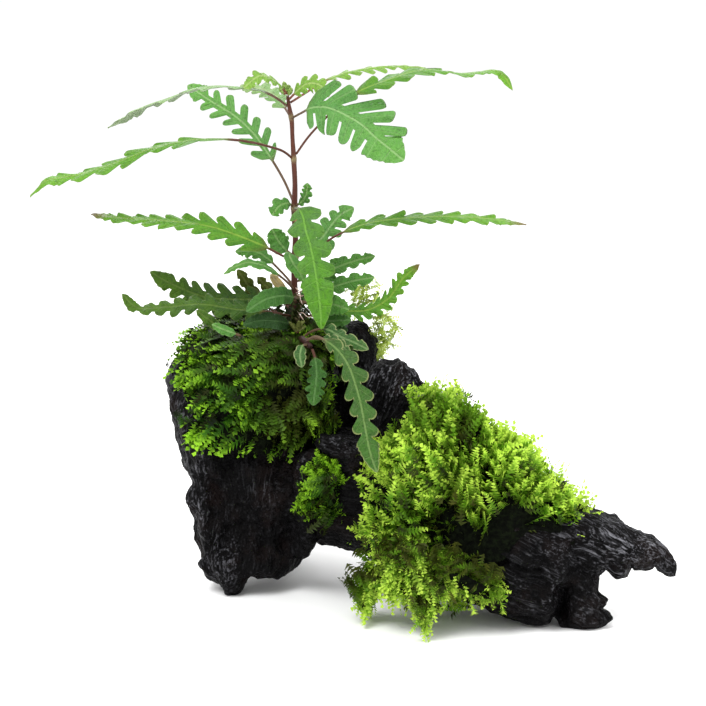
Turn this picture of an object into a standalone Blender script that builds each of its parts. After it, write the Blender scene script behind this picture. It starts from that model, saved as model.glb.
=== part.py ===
"""Hygrophila pinnatifida growing with moss on a piece of black driftwood.

Metres, +Z up, the front faces -Y. Every place is written as it is seen from the
front viewpoint: (across, up, back) in millimetres, where back runs away from the
viewer. placed() turns such rows into x, y, z.
"""

import math
from dataclasses import dataclass

import bmesh
import bpy
import numpy as np

MM = 0.001
SWELL = 0.42  # a cutter grows by this along its normals, which leaves a gap of 0.3
MOST_SHELL_FACTOR = 2.0  # how much further a sharp corner may move than a flat face
WELD = 0.05  # corners nearer than this after a cut become one
GROUND_HALF_SIDE, GROUND_DEPTH = 600.0, 60.0
SHARP_EDGE = math.radians(40.0)

# Front viewpoint that the places are written for
VIEW_DISTANCE = 800.0
VIEW_RISE = math.radians(12.0)
VIEW_HEIGHT = 96.0
FRAME_SHIFT = (0.3, 11.0, 0.0)

# Wood
WOOD_SIDES = 16
WOOD_LUMPS = 0.045
RING_SQUARENESS = 0.86
# Waves that make a limb lumpy: size, waves round it, turn along it, share of its own turn
LUMP_WAVES = ((1.0, 3, 2.1, 1.0), (0.7, 5, -3.4, 2.3), (0.8, 2, 9.0, 1.7))

# Moss
MOSS_SIDES = 14
MOSS_LUMPS = 0.05

# Stem and leaves
STEM_SIDES = 8
STEM_BACK = 4.0
LEAF_START = 2.3  # a stalk begins this far from the middle of the stem
LEAF_HALF_THICKNESS = 0.36
STALK_RADIUS = 0.55
STALK_ROWS = 4
PATH_POINTS = 81
BETWEEN_LOBES, LOBE_TIP = 0.30, 0.80  # places of a gap and a tip within one lobe
LAST_LOBE = 0.25  # the pointed end, as a share of a lobe
TIP_SWEEP, MOST_SWEEP = 0.10, 0.35  # a lobe leans forward: share of length, of half width
BLADE_START, BLADE_SPAN, BLADE_FULLNESS = 0.12, 0.82, 0.6


@dataclass(frozen=True)
class Limb:
    """A length of wood or moss: rings of (across, up, back, half width, half depth).

    The rings of an upright limb lie flat, and those of a level limb stand.
    """

    name: str
    upright: bool
    rings: tuple
    stations: int
    sides: int = WOOD_SIDES
    lumps: float = WOOD_LUMPS
    turn: float = 0.0


@dataclass(frozen=True)
class Leaf:
    """A leaf with its stalk, along rows of (across, up, back) from base to tip.

    roll is how far the upper face turns from the sky (0) to the viewer (90), at even
    steps from the base to the tip. stalk is the share of the length without a blade.
    notch is how deep the gaps between lobes are, droop lowers the edges below the rib,
    and a small skew moves the widest place towards the base.
    """

    name: str
    path: tuple
    width: float
    roll: tuple = (25.0, 25.0)
    lobes: int = 6
    notch: float = 0.45
    stalk: float = 0.15
    droop: float = 0.12
    colour: tuple = (0.10, 0.26, 0.04)
    skew: float = 0.85


LIME, BRIGHT, MID = (0.32, 0.52, 0.06), (0.14, 0.36, 0.05), (0.07, 0.22, 0.04)
DARK, OLIVE, DRY = (0.03, 0.12, 0.04), (0.13, 0.15, 0.03), (0.50, 0.38, 0.17)
BLACK_WOOD, STEM_BROWN = (0.012, 0.012, 0.014), (0.10, 0.03, 0.02)
WOOD_ROUGHNESS, STEM_ROUGHNESS, LEAF_ROUGHNESS, MOSS_ROUGHNESS = 0.5, 0.5, 0.45, 0.9
MOSS_DARK, MOSS_LIGHT = (0.08, 0.20, 0.02), (0.25, 0.50, 0.03)

STUMP = Limb("driftwood_stump", True, (
    (-39.0, 9.0, -8.0, 15.0, 10.0),
    (-41.5, 12.5, -6.0, 18.5, 15.0),
    (-40.0, 19.0, -3.0, 21.0, 19.0),
    (-39.0, 27.0, 0.0, 24.0, 22.0),
    (-38.0, 36.0, 2.0, 28.0, 25.0),
    (-36.0, 41.0, 3.0, 28.0, 27.0),
    (-37.5, 50.0, 5.0, 29.5, 29.0),
    (-40.5, 59.0, 6.0, 30.5, 30.0),
    (-41.8, 73.0, 8.0, 30.8, 31.0),
    (-43.5, 81.0, 8.0, 33.5, 32.0),
    (-41.2, 87.0, 8.0, 33.3, 32.0),
    (-39.0, 95.0, 8.0, 31.0, 30.0),
    (-37.0, 98.5, 8.0, 25.0, 24.0),
), 16)
LEFT_TOE = Limb("left_toe", True, (
    (-49.0, -1.0, -12.0, 4.5, 5.0),
    (-49.5, 3.0, -11.0, 8.0, 7.5),
    (-50.0, 8.0, -9.0, 10.0, 9.5),
    (-50.0, 15.0, -6.0, 10.5, 11.0),
    (-48.0, 24.0, -3.0, 11.0, 12.0),
), 7, 12)
SECOND_TOE = Limb("second_toe", True, (
    (-33.0, 6.3, -10.0, 2.5, 3.0),
    (-32.5, 8.5, -9.0, 5.5, 6.0),
    (-31.0, 14.0, -7.0, 8.5, 9.0),
    (-31.0, 22.0, -5.0, 9.0, 11.0),
), 6, 12)
TRUNK = Limb("driftwood_trunk", False, (
    (-30.0, 44.0, 4.0, 15.0, 17.0),
    (-12.0, 42.0, -1.0, 22.0, 25.0),
    (4.0, 40.0, -7.0, 24.0, 27.0),
    (20.0, 38.0, -16.0, 27.0, 28.0),
    (36.0, 35.0, -26.0, 31.0, 28.0),
    (52.0, 28.0, -35.0, 31.0, 27.0),
    (66.0, 20.0, -42.0, 30.0, 24.0),
    (78.0, 12.5, -46.0, 24.5, 20.0),
    (87.0, 9.0, -48.0, 15.0, 14.0),
    (91.0, 8.0, -48.0, 8.0, 8.0),
), 15, turn=0.7)
PEAK = Limb("driftwood_peak", True, (
    (20.0, 56.0, -9.0, 15.0, 14.0),
    (20.0, 66.0, -7.0, 16.5, 15.0),
    (20.0, 74.0, -5.0, 16.5, 13.0),
    (18.5, 82.0, -3.0, 13.0, 11.0),
    (16.5, 88.0, -2.0, 8.5, 8.0),
    (16.0, 92.0, -2.0, 4.5, 4.5),
), 8, 12, 0.06, 1.9)
KNOB = Limb("driftwood_knob", True, (
    (-4.0, 52.0, 10.0, 13.0, 11.0),
    (-4.0, 62.0, 14.0, 15.0, 12.0),
    (-3.5, 74.0, 20.0, 15.0, 11.0),
    (-3.0, 84.0, 26.0, 13.0, 10.0),
    (-1.0, 92.0, 31.0, 10.5, 9.0),
    (0.5, 99.0, 33.0, 9.7, 9.0),
    (0.5, 104.5, 34.0, 8.0, 8.0),
    (0.0, 108.0, 34.0, 4.0, 4.0),
), 9, 12, 0.05, 2.6)
ARM = Limb("driftwood_arm", False, (
    (76.0, 24.0, -46.0, 11.0, 13.0),
    (86.0, 23.0, -46.0, 12.0, 15.0),
    (96.0, 21.0, -46.0, 12.4, 14.0),
    (100.5, 20.6, -46.0, 11.4, 13.5),
    (106.5, 17.8, -46.0, 12.2, 13.0),
    (112.5, 17.8, -46.0, 8.0, 11.5),
    (116.0, 16.2, -46.0, 7.8, 10.0),
    (121.0, 15.4, -46.0, 5.0, 8.0),
    (125.4, 11.8, -46.0, 4.3, 6.0),
    (128.6, 10.4, -46.0, 1.6, 3.0),
), 14, 12, 0.05, 3.3)
HEEL = Limb("driftwood_heel", True, (
    (91.0, -13.0, -51.0, 8.5, 6.5),
    (91.0, -9.0, -50.5, 10.5, 8.5),
    (90.4, -3.0, -50.0, 10.0, 9.5),
    (90.0, 3.0, -49.0, 7.5, 9.0),
    (89.0, 10.0, -48.0, 8.0, 9.0),
    (88.0, 15.0, -47.0, 7.0, 8.0),
), 7, 12, 0.08, 4.1)
BACK_ROOT = Limb("driftwood_back_root", True, (
    (-37.0, 14.0, 47.0, 5.0, 5.5),
    (-37.0, 19.0, 46.0, 7.0, 7.0),
    (-36.0, 27.0, 41.0, 10.0, 9.0),
    (-35.0, 38.0, 33.0, 13.0, 11.0),
    (-34.0, 50.0, 24.0, 13.0, 12.0),
), 6, 10, 0.06, 5.2)

MAT_LEFT = Limb("moss_mat_left", True, (
    (-41.0, 58.0, -3.0, 25.0, 22.0),
    (-41.0, 63.0, -3.0, 30.0, 27.0),
    (-41.0, 74.0, -2.0, 31.5, 29.0),
    (-41.0, 86.0, -1.0, 32.5, 30.0),
    (-39.0, 96.0, 3.0, 32.0, 32.0),
    (-38.0, 102.0, 6.0, 28.0, 30.0),
    (-37.0, 105.5, 8.0, 20.0, 22.0),
), 9, MOSS_SIDES, MOSS_LUMPS, 0.4)
PATCH_CENTRE = Limb("moss_patch_centre", True, (
    (-10.0, 29.0, -21.0, 5.0, 7.0),
    (-10.5, 34.0, -22.0, 9.0, 11.0),
    (-10.5, 44.0, -22.0, 10.0, 12.0),
    (-10.0, 52.0, -20.0, 8.5, 10.0),
    (-10.0, 56.0, -19.0, 4.0, 6.0),
), 6, 10, MOSS_LUMPS, 1.3)
CUSHION_RIGHT = Limb("moss_cushion_right", False, (
    (4.0, 38.0, -28.0, 9.0, 9.0),
    (9.0, 39.0, -24.0, 21.0, 22.0),
    (15.0, 42.0, -23.0, 31.0, 30.0),
    (25.0, 45.0, -24.0, 39.5, 37.0),
    (38.0, 43.0, -28.0, 40.0, 39.0),
    (51.0, 40.0, -36.0, 38.0, 36.0),
    (59.0, 38.0, -40.0, 31.5, 32.0),
    (68.0, 42.0, -43.0, 24.0, 28.0),
    (76.0, 37.0, -45.0, 17.0, 24.0),
    (84.0, 33.0, -46.0, 13.5, 20.0),
    (92.0, 29.0, -46.0, 10.0, 16.0),
    (97.5, 28.0, -46.0, 4.5, 9.0),
), 11, MOSS_SIDES, MOSS_LUMPS, 2.2)
CURTAIN_RIGHT = Limb("moss_curtain_right", False, (
    (2.0, -4.0, -50.0, 4.0, 3.0),
    (4.2, -2.5, -50.5, 9.5, 4.0),
    (9.0, 5.0, -54.0, 8.5, 6.0),
    (18.0, 6.0, -60.0, 11.0, 7.0),
    (25.0, 4.0, -65.0, 13.0, 7.0),
    (29.5, -3.0, -69.0, 15.0, 5.5),
    (32.5, 4.0, -67.0, 10.0, 6.0),
    (36.5, 5.0, -67.0, 9.5, 6.0),
    (41.5, 8.0, -67.0, 8.0, 6.5),
    (47.0, 5.0, -67.0, 9.5, 7.0),
    (55.0, 2.0, -66.0, 9.0, 6.5),
    (61.0, 0.0, -64.0, 6.0, 4.5),
), 15, 7, 0.03, 0.9)
TUFT_BACK = Limb("moss_tuft_back", True, (
    (12.0, 94.0, 37.0, 4.0, 5.0),
    (11.0, 100.0, 39.0, 7.5, 8.0),
    (8.5, 107.0, 40.0, 9.5, 9.0),
    (6.5, 113.0, 41.0, 9.5, 8.0),
    (5.5, 119.0, 42.0, 8.5, 7.0),
    (5.5, 125.5, 42.0, 4.0, 4.0),
), 8, 10, MOSS_LUMPS, 3.0)

# (across, up, radius) of the main stem, with a swelling at each pair of leaves
MAIN_STEM = (
    (-24.0, 98.0, 1.6), (-23.4, 104.0, 1.5), (-23.0, 110.6, 1.4), (-23.2, 118.0, 1.55),
    (-23.4, 123.0, 1.3), (-23.2, 134.5, 1.45), (-23.0, 141.0, 1.15), (-23.5, 153.8, 1.35),
    (-23.2, 163.0, 1.0), (-23.7, 173.4, 1.25), (-24.2, 182.0, 0.85), (-24.7, 190.4, 1.05),
    (-25.5, 194.4, 0.8), (-26.2, 198.6, 0.6),
)
# (across, up, back, radius) of the old stem that creeps over the moss
CREEPING_STEM = (
    (-22.5, 100.5, 1.4, 1.0), (-21.5, 101.4, -6.0, 1.2), (-20.4, 101.6, -14.0, 1.3),
    (-19.4, 100.8, -22.0, 1.2), (-17.0, 98.6, -27.0, 1.0),
)

# Bud and rosette: name, rings of (across, up, back, radius, spread), blades and colour
TUFTS = (
    ("crown_bud", ((-26.3, 199.6, 4.0, 0.5, 0.1), (-26.8, 201.6, 4.0, 0.9, 0.5),
                   (-27.4, 204.0, 4.2, 0.7, 0.9), (-27.9, 206.2, 4.4, 0.3, 0.6)), 4, LIME),
    ("plantlet", ((-22.4, 103.6, -9.0, 0.5, 0.0), (-22.3, 105.4, -9.2, 0.8, 0.5),
                  (-22.2, 107.4, -9.4, 0.8, 1.4), (-22.1, 109.4, -9.6, 0.5, 2.0)), 5, OLIVE),
)
TUFT_TURN, BLADE_RISE = 0.3, 0.5

LEAVES = (
    Leaf("leaf_top_left_far", ((-25.6, 194.2, 4), (-31, 198.2, 0), (-36, 200.6, -3), (-45,
         202.2, -6), (-61, 202.2, -8), (-73, 198.2, -8), (-85, 193.8, -6), (-98, 186, -4)), 11,
         (0, -4, -9, -9), 7, 0.56, 0.14, 0.28, LIME),
    Leaf("leaf_crown_left", ((-26.2, 199.4, 3), (-31, 204.6, -3), (-37.4, 206.6, -8), (-43.8,
         201.8, -10)), 8, (30, 45), 4, 0.42, 0.12, 0.2, LIME),
    Leaf("leaf_back_left_lobed", ((-23.6, 155.8, 5), (-27.6, 165, 12), (-31, 171, 15), (-34.6,
         176.6, 17), (-39.5, 183.4, 19), (-46.3, 190, 21), (-56.6, 196.6, 22), (-66.2, 203,
         22)), 14, (70, 62), 6, 0.59, 0.3, 0.06, MID, 0.7),
    Leaf("leaf_long_left", ((-23.7, 173.4, 4), (-27.8, 176.6, 1), (-33, 178.4, -2), (-43.8,
         180.8, -7), (-60, 181.4, -12), (-77, 178.6, -16), (-97.5, 171, -18), (-110.7, 167,
         -18), (-123.4, 164.2, -17), (-129.2, 158.4, -16)), 13, (-2, 0, 14, 14, 6), 8, 0.56,
         0.26, 0.14, BRIGHT),
    Leaf("leaf_top_right_back", ((-25.6, 195.8, 4), (-19, 200, 9), (-12.4, 204.2, 13), (-0.3,
         208.7, 18), (7.2, 210, 21), (17.6, 210.8, 24), (28.9, 210, 26)), 10, (12, 10, 2), 6,
         0.52, 0.3, 0.3, LIME),
    Leaf("leaf_long_right", ((-23.7, 174.2, 4), (-17.4, 183, 4), (-13, 187.8, 4), (-7, 193.8,
         3), (3, 200.8, 3), (11.4, 204.2, 3), (27.9, 209, 2), (45.1, 207.7, 0), (58.9, 208, -3),
         (63.7, 201.2, -5)), 13, (34, 32, 20, -4, 20), 7, 0.56, 0.33, 0.16, BRIGHT, 0.7),
    Leaf("leaf_crown_right", ((-26, 197, 4), (-22, 201, 1), (-18.4, 203.6, -1), (-13.5, 203.2,
         -3), (-9.6, 198.4, -4)), 9, (50, 60), 4, 0.45, 0.15, 0.2, LIME),
    Leaf("leaf_big_right_front", ((-24.7, 189.8, 4), (-20.3, 192.2, -4), (-16.9, 193.9, -9),
         (-11.4, 194.3, -13), (-3.1, 191.2, -17), (3.8, 187, -20), (9.3, 181.9, -22), (14.1,
         178.1, -23), (20.3, 172.9, -24)), 22, (62, 70), 5, 0.55, 0.2, 0.06, MID),
    Leaf("leaf_pale_left_back", ((-24.7, 190, 4), (-27.6, 194.6, 12), (-30.6, 198.4, 18), (-35,
         201, 23), (-45, 203, 29)), 10, (45, 35), 4, 0.42, 0.2, 0.15, LIME),
    Leaf("leaf_node_left_small", ((-23.5, 154.4, 4), (-26.4, 155.8, 0), (-29.4, 154.8, -3),
         (-32.4, 151, -5)), 7.5, (60, 68), 2, 0.32, 0.15, 0.05, MID),
    Leaf("leaf_node_right_small", ((-23.4, 154.8, 4), (-20.6, 156.4, 1), (-18.8, 159.4, -1),
         (-18.2, 164, -2)), 5, (72, 80), 3, 0.35, 0.15, 0.05, MID),
    Leaf("leaf_front_hanging", ((-23.5, 153.8, 4), (-21.4, 153.4, -5), (-19.8, 149.7, -10),
         (-19, 145.4, -13), (-17.2, 139.6, -15), (-15.5, 131.4, -17), (-14.2, 123.4, -18.5),
         (-13, 113, -19.5), (-12.6, 105.4, -20)), 16, (70, 86), 4, 0.46, 0.12, 0.05, BRIGHT,
         0.62),
    Leaf("leaf_round_left", ((-23.4, 134.6, 4), (-27, 137.4, 6), (-30, 141, 8), (-32.4, 145.6,
         9)), 9, (72, 72), 3, 0.14, 0.2, 0.05, MID),
    Leaf("leaf_long_left_middle", ((-23.2, 133, 4), (-26.7, 134.2, -1), (-35.6, 138.7, -4),
         (-43.4, 141.9, -6), (-58, 146.6, -8), (-77.1, 148.9, -9), (-96.2, 150.2, -8), (-104.6,
         151.4, -7)), 12.5, (50, 60, 16, 10, 12), 8, 0.5, 0.16, 0.06, BRIGHT, 0.7),
    Leaf("leaf_left_pale_under", ((-23.3, 122.4, 4), (-28.6, 128.4, 10), (-33.8, 133.4, 12),
         (-38, 136.2, 13), (-47, 136.6, 13)), 7, (50, 50), 3, 0.28, 0.45, 0.08, MID),
    Leaf("leaf_narrow_left", ((-23.3, 121, 4), (-26.6, 124.6, -2), (-30.6, 127.8, -5), (-35.6,
         130.7, -7), (-42, 132, -8), (-47.1, 130.4, -9), (-51.6, 127.5, -9)), 4.5, (36, 40), 3,
         0.21, 0.34, 0.06, MID),
    Leaf("leaf_long_right_middle", ((-23.2, 134, 4), (-16, 137, 6), (-6.2, 143.2, 5), (7.1, 148,
         3), (21.9, 149.9, 1), (44.1, 150.3, -2), (57.4, 149.2, -5), (69.2, 147.3, -8)), 11,
         (40, 30, 14, 12, 0), 8, 0.53, 0.22, 0.12, BRIGHT),
    Leaf("leaf_right_back_curly", ((-23.2, 136.4, 4), (-18, 138.6, 13), (-12.2, 142.2, 18),
         (-8.4, 147.4, 20), (-4.4, 151.6, 21), (0.4, 154, 21)), 12, (66, 50), 4, 0.52, 0.3, 0.2,
         MID, 0.7),
    Leaf("leaf_before_stem", ((-23.2, 134.8, 4), (-25.4, 135.4, -2), (-24.2, 132.4, -5), (-21.8,
         129, -6.5), (-19.4, 124.6, -7.5)), 6, (74, 80), 2, 0.1, 0.2, 0.05, MID),
    Leaf("leaf_behind_right", ((-23, 112, 6), (-19, 117.4, 12), (-14.6, 123, 15), (-9.4, 128.6,
         17), (-4, 133.6, 17)), 10, (70, 66), 4, 0.35, 0.2, 0.08, MID),
    Leaf("leaf_olive_left", ((-23.2, 108, 4), (-29, 111.6, 12), (-36, 115.6, 16), (-40.6, 121.4,
         17), (-46.2, 129.4, 16)), 6, (70, 70), 3, 0.28, 0.5, 0.08, OLIVE),
    Leaf("leaf_olive_curl", ((-23.2, 111, 4), (-27, 115.6, 11), (-31, 119.4, 14), (-34.4, 122.6,
         15), (-38.2, 126.4, 14)), 5.5, (65, 75), 3, 0.35, 0.4, 0.1, OLIVE),
    Leaf("leaf_dry", ((-23.2, 116, 4), (-27, 119.6, 0), (-30, 123.8, -1), (-33, 127.6, -1.4)),
         4.5, (60, 75), 2, 0.1, 0.25, 0.15, DRY),
    Leaf("leaf_lower_left_upper", ((-23.1, 114.6, 4), (-33, 117.4, 6), (-45.2, 117.4, 7),
         (-59.2, 118.4, 8), (-70.7, 122.7, 7), (-77.1, 125.9, 6), (-81.2, 128.5, 5)), 14, (60,
         52), 6, 0.46, 0.2, 0.08, DARK, 0.6),
    Leaf("leaf_lower_left_lower", ((-23, 110.4, 4), (-33, 112.4, -4), (-45.4, 113.2, -7),
         (-61.2, 115.4, -9), (-75.8, 114.2, -10), (-87.3, 114.4, -11), (-92.4, 119.6, -11)), 12,
         (50, 44, 34), 8, 0.46, 0.2, 0.08, DARK, 0.5),
    Leaf("leaf_oval_front_left", ((-23.2, 118, 4), (-23.4, 118.2, -6), (-28, 118.9, -13), (-35,
         117.4, -18), (-42.7, 112.6, -21)), 8, (66, 74), 4, 0.11, 0.3, 0.05, DARK),
    Leaf("leaf_dark_below_left", ((-23.2, 106, 4), (-25.6, 107.6, -6), (-30, 108.6, -14), (-37,
         108.9, -18), (-44, 107.2, -20)), 7, (64, 70), 3, 0.14, 0.3, 0.05, DARK),
    Leaf("leaf_right_upper_small", ((-23.4, 124.6, 4), (-14, 126.4, 9), (-6, 130.4, 11), (2,
         133.2, 11), (8.9, 134.7, 10)), 7, (60, 60), 3, 0.39, 0.35, 0.06, MID),
    Leaf("leaf_right_middle_small", ((-23.2, 118.6, 4), (-15, 119.6, 8), (-7.8, 122.4, 9), (0.2,
         124.8, 9), (8.6, 126.2, 8)), 8, (60, 60), 3, 0.35, 0.3, 0.06, MID),
    Leaf("leaf_right_lower_long", ((-23, 109.4, 4), (-15, 111.4, 5), (-3, 112.6, 5), (6, 113.2,
         4), (13.8, 117.4, 3), (20.4, 126.2, 2), (26.7, 131.4, 1)), 9, (45, 50, 45), 9, 0.42,
         0.25, 0.08, DARK, 0.7),
    Leaf("leaf_round_right", ((-23.2, 117.2, 4), (-19.4, 116.4, -4), (-13, 115.9, -8), (-7,
         115.2, -10), (-1.6, 113.4, -11)), 9, (68, 72), 3, 0.14, 0.35, 0.05, MID),
    Leaf("leaf_right_low_small", ((-23.2, 107.4, 4), (-17, 107.6, -3), (-11, 108.6, -7), (-6,
         109, -9), (-0.6, 109.2, -10)), 6.5, (64, 66), 3, 0.21, 0.35, 0.05, DARK),
    Leaf("leaf_base_right_dark", ((-22.6, 104, 4), (-18, 106.2, 3), (-11, 106.8, 1), (-2, 105,
         0)), 7, (70, 74), 3, 0.24, 0.15, 0.05, DARK),
    Leaf("leaf_base_behind", ((-22.8, 105, 6), (-24.6, 111, 12), (-22.4, 116, 15), (-17.6,
         119.2, 17)), 8, (70, 74), 3, 0.21, 0.2, 0.05, DARK),
    Leaf("leaf_variegated", ((-20.8, 101.5, -10), (-16.6, 104.6, -13), (-10.4, 105.4, -19),
         (-4.6, 102.4, -25), (0.6, 100.2, -27), (6.2, 97.4, -28)), 8.5, (62, 70), 3, 0.35, 0.35,
         0.05, MID),
    Leaf("leaf_variegated_small", ((-20.1, 101.4, -15.5), (-16.2, 101.8, -18.5), (-12, 101.6,
         -24), (-6.6, 100.6, -29), (-1, 95.4, -31)), 6, (64, 70), 3, 0.35, 0.4, 0.05, MID),
    Leaf("leaf_long_hanging", ((-19, 100.4, -23.5), (-15, 102.6, -28), (-10, 100.4, -32), (-5.4,
         96.4, -36), (-1.6, 90.5, -40), (0.8, 84, -43), (3, 76, -46), (4.8, 66.6, -50), (7.2,
         55, -54), (9.6, 48.2, -56)), 11.5, (66, 80), 6, 0.46, 0.15, 0.05, BRIGHT),
    Leaf("leaf_small_hanging", ((-18.2, 99.4, -25.5), (-20.4, 98.6, -30), (-21.2, 95.2, -33),
         (-20.4, 90.2, -34.5)), 5, (64, 84), 2, 0.14, 0.25, 0.05, MID),
    Leaf("leaf_dark_hanging", ((-16.6, 98.4, -27.6), (-15.2, 94, -29.5), (-14.6, 88, -30.5),
         (-15.2, 81, -31.5), (-16, 75, -32)), 8, (74, 84), 4, 0.39, 0.15, 0.05, DARK),
    Leaf("leaf_far_left_small", ((-50, 104, -14), (-54.6, 107, -18), (-58.6, 110, -21), (-62.8,
         113, -23)), 5, (60, 60), 2, 0.14, 0.2, 0.05, DARK),
    Leaf("leaf_far_left_low", ((-44.5, 102.8, -24), (-48, 104, -27), (-52, 105.4, -29), (-56.4,
         107.4, -30)), 4.5, (60, 60), 2, 0.14, 0.2, 0.05, MID),
)


def placed(points):
    """x, y, z in metres for rows of (across, up, back)."""
    rows = np.atleast_2d(np.asarray(points, float))
    across, up, back = rows[:, 0], rows[:, 1] - VIEW_HEIGHT, rows[:, 2]
    rise, run = math.sin(VIEW_RISE), math.cos(VIEW_RISE)
    reach = (back + VIEW_DISTANCE * run) / (VIEW_DISTANCE * run + up * rise)
    height = VIEW_HEIGHT + VIEW_DISTANCE * rise + reach * (up * run - VIEW_DISTANCE * rise)
    return (np.column_stack((reach * across, back, height)) + FRAME_SHIFT) * MM


def smooth_rows(rows, count):
    """count rows evenly along a smooth curve through the given rows."""
    rows = np.asarray(rows, float)
    steps = np.maximum(np.linalg.norm(np.diff(rows[:, :3], axis=0), axis=1), 1e-6)
    along = np.concatenate(([0.0], np.cumsum(steps)))
    slopes = np.gradient(rows, along, axis=0)
    at = np.linspace(0.0, along[-1], count)
    left = np.clip(np.searchsorted(along, at, side="right") - 1, 0, len(steps) - 1)
    span = steps[left][:, None]
    u = ((at - along[left]) / steps[left])[:, None]
    start, end = rows[left], rows[left + 1]
    return ((2 * u**3 - 3 * u**2 + 1) * start + (u**3 - 2 * u**2 + u) * span * slopes[left]
            + (3 * u**2 - 2 * u**3) * end + (u**3 - u**2) * span * slopes[left + 1])


def material(name, colour, roughness):
    """A plain material with a colour and a roughness."""
    made = bpy.data.materials.new(name)
    made.use_nodes = True
    shader = made.node_tree.nodes["Principled BSDF"]
    shader.inputs["Base Color"].default_value = (*colour, 1.0)
    shader.inputs["Roughness"].default_value = roughness
    return made


def add_object(name, points, faces, colour, roughness):
    """A mesh object with outward faces and its own material."""
    mesh = bpy.data.meshes.new(name)
    mesh.from_pydata([tuple(p) for p in points], [], faces)
    shape = bmesh.new()
    shape.from_mesh(mesh)
    bmesh.ops.triangulate(shape, faces=shape.faces)
    bmesh.ops.recalc_face_normals(shape, faces=shape.faces)
    if shape.calc_volume(signed=True) < 0:
        bmesh.ops.reverse_faces(shape, faces=shape.faces)
    shape.to_mesh(mesh)
    shape.free()
    made = bpy.data.objects.new(name, mesh)
    bpy.context.scene.collection.objects.link(made)
    mesh.materials.append(material(name, colour, roughness))
    mesh.shade_smooth()
    mesh.set_sharp_from_angle(angle=SHARP_EDGE)
    return made


def tube_faces(rows, sides):
    """Faces of a closed tube of rows * sides points, with a flat cap at each end."""
    faces = []
    for row in range(rows - 1):
        for side in range(sides):
            after = (side + 1) % sides
            low, high = row * sides, (row + 1) * sides
            faces.append((low + side, low + after, high + after, high + side))
    faces.append(tuple(reversed(range(sides))))
    faces.append(tuple(range((rows - 1) * sides, rows * sides)))
    return faces


def limb_points(limb):
    """Points of a limb: squarish rings round its path, with lumps that turn as they rise."""
    rings = smooth_rows(limb.rings, limb.stations)
    centres = placed(rings[:, :3]) / MM
    angle = np.linspace(0.0, 2 * math.pi, limb.sides, endpoint=False)[None, :]
    along = np.linspace(0.0, 1.0, limb.stations)[:, None]
    lump = 1 + limb.lumps * sum(
        size * np.sin(waves * angle + turn * along + share * limb.turn)
        for size, waves, turn, share in LUMP_WAVES)
    wide = np.sign(np.cos(angle)) * np.abs(np.cos(angle)) ** RING_SQUARENESS
    deep = np.sign(np.sin(angle)) * np.abs(np.sin(angle)) ** RING_SQUARENESS
    wide = wide * lump * rings[:, 3:4]
    deep = deep * lump * rings[:, 4:5]
    points = np.repeat(centres[:, None, :], limb.sides, axis=1)
    points[:, :, 0 if limb.upright else 2] += wide
    points[:, :, 1] += deep
    return points.reshape(-1, 3) * MM


def add_limb(limb, colour, roughness=WOOD_ROUGHNESS):
    """The object of one limb."""
    faces = tube_faces(limb.stations, limb.sides)
    return add_object(limb.name, limb_points(limb), faces, colour, roughness)


def swollen(source, by=SWELL):
    """A hidden copy of a piece, grown along its normals, to cut others clear of it."""
    cutter = source.copy()
    cutter.data = source.data.copy()
    cutter.name = "room_for_" + source.name
    bpy.context.scene.collection.objects.link(cutter)
    shape = bmesh.new()
    shape.from_mesh(cutter.data)
    shape.normal_update()
    moves = [(v, v.normal * by * MM * min(v.calc_shell_factor(), MOST_SHELL_FACTOR)) for v in shape.verts]
    for vertex, move in moves:
        vertex.co += move
    shape.to_mesh(cutter.data)
    shape.free()
    cutter.hide_render = True
    cutter.display_type = "WIRE"
    return cutter


def combine(target, other, operation):
    """Cut or join another object into the target, and keep the largest body."""
    modifier = target.modifiers.new(operation.lower(), "BOOLEAN")
    modifier.operation = operation
    modifier.object = other
    bpy.context.view_layer.update()
    shown = target.evaluated_get(bpy.context.evaluated_depsgraph_get())
    result = bpy.data.meshes.new_from_object(shown)
    target.modifiers.remove(modifier)
    target.data = result
    keep_largest_body(result)
    bpy.data.objects.remove(other)


def keep_largest_body(mesh):
    """Delete the loose crumbs that a cut leaves beside the main body."""
    shape = bmesh.new()
    shape.from_mesh(mesh)
    waiting, bodies = set(shape.verts), []
    while waiting:
        front = [waiting.pop()]
        body = set(front)
        while front:
            vertex = front.pop()
            near = {edge.other_vert(vertex) for edge in vertex.link_edges} - body
            body |= near
            front.extend(near)
        waiting -= body
        bodies.append(body)
    bodies.sort(key=len)
    crumbs = [vertex for body in bodies[:-1] for vertex in body]
    bmesh.ops.delete(shape, geom=crumbs, context="VERTS")
    bmesh.ops.remove_doubles(shape, verts=shape.verts, dist=WELD * MM)
    bmesh.ops.dissolve_degenerate(shape, edges=shape.edges, dist=WELD * MM)
    bmesh.ops.triangulate(shape, faces=shape.faces)
    shape.to_mesh(mesh)
    shape.free()


def ground_block():
    """A block under the ground plane, which cuts the feet flat."""
    size, depth = GROUND_HALF_SIDE * MM, GROUND_DEPTH * MM
    corners = [(x, y, z) for z in (-depth, 0.0) for x, y in
               ((-size, -size), (size, -size), (size, size), (-size, size))]
    faces = [(0, 3, 2, 1), (4, 5, 6, 7), (0, 1, 5, 4), (1, 2, 6, 5), (2, 3, 7, 6), (3, 0, 4, 7)]
    block = add_object("ground", corners, faces, BLACK_WOOD, WOOD_ROUGHNESS)
    block.hide_render = True
    block.display_type = "WIRE"
    return block


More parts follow.
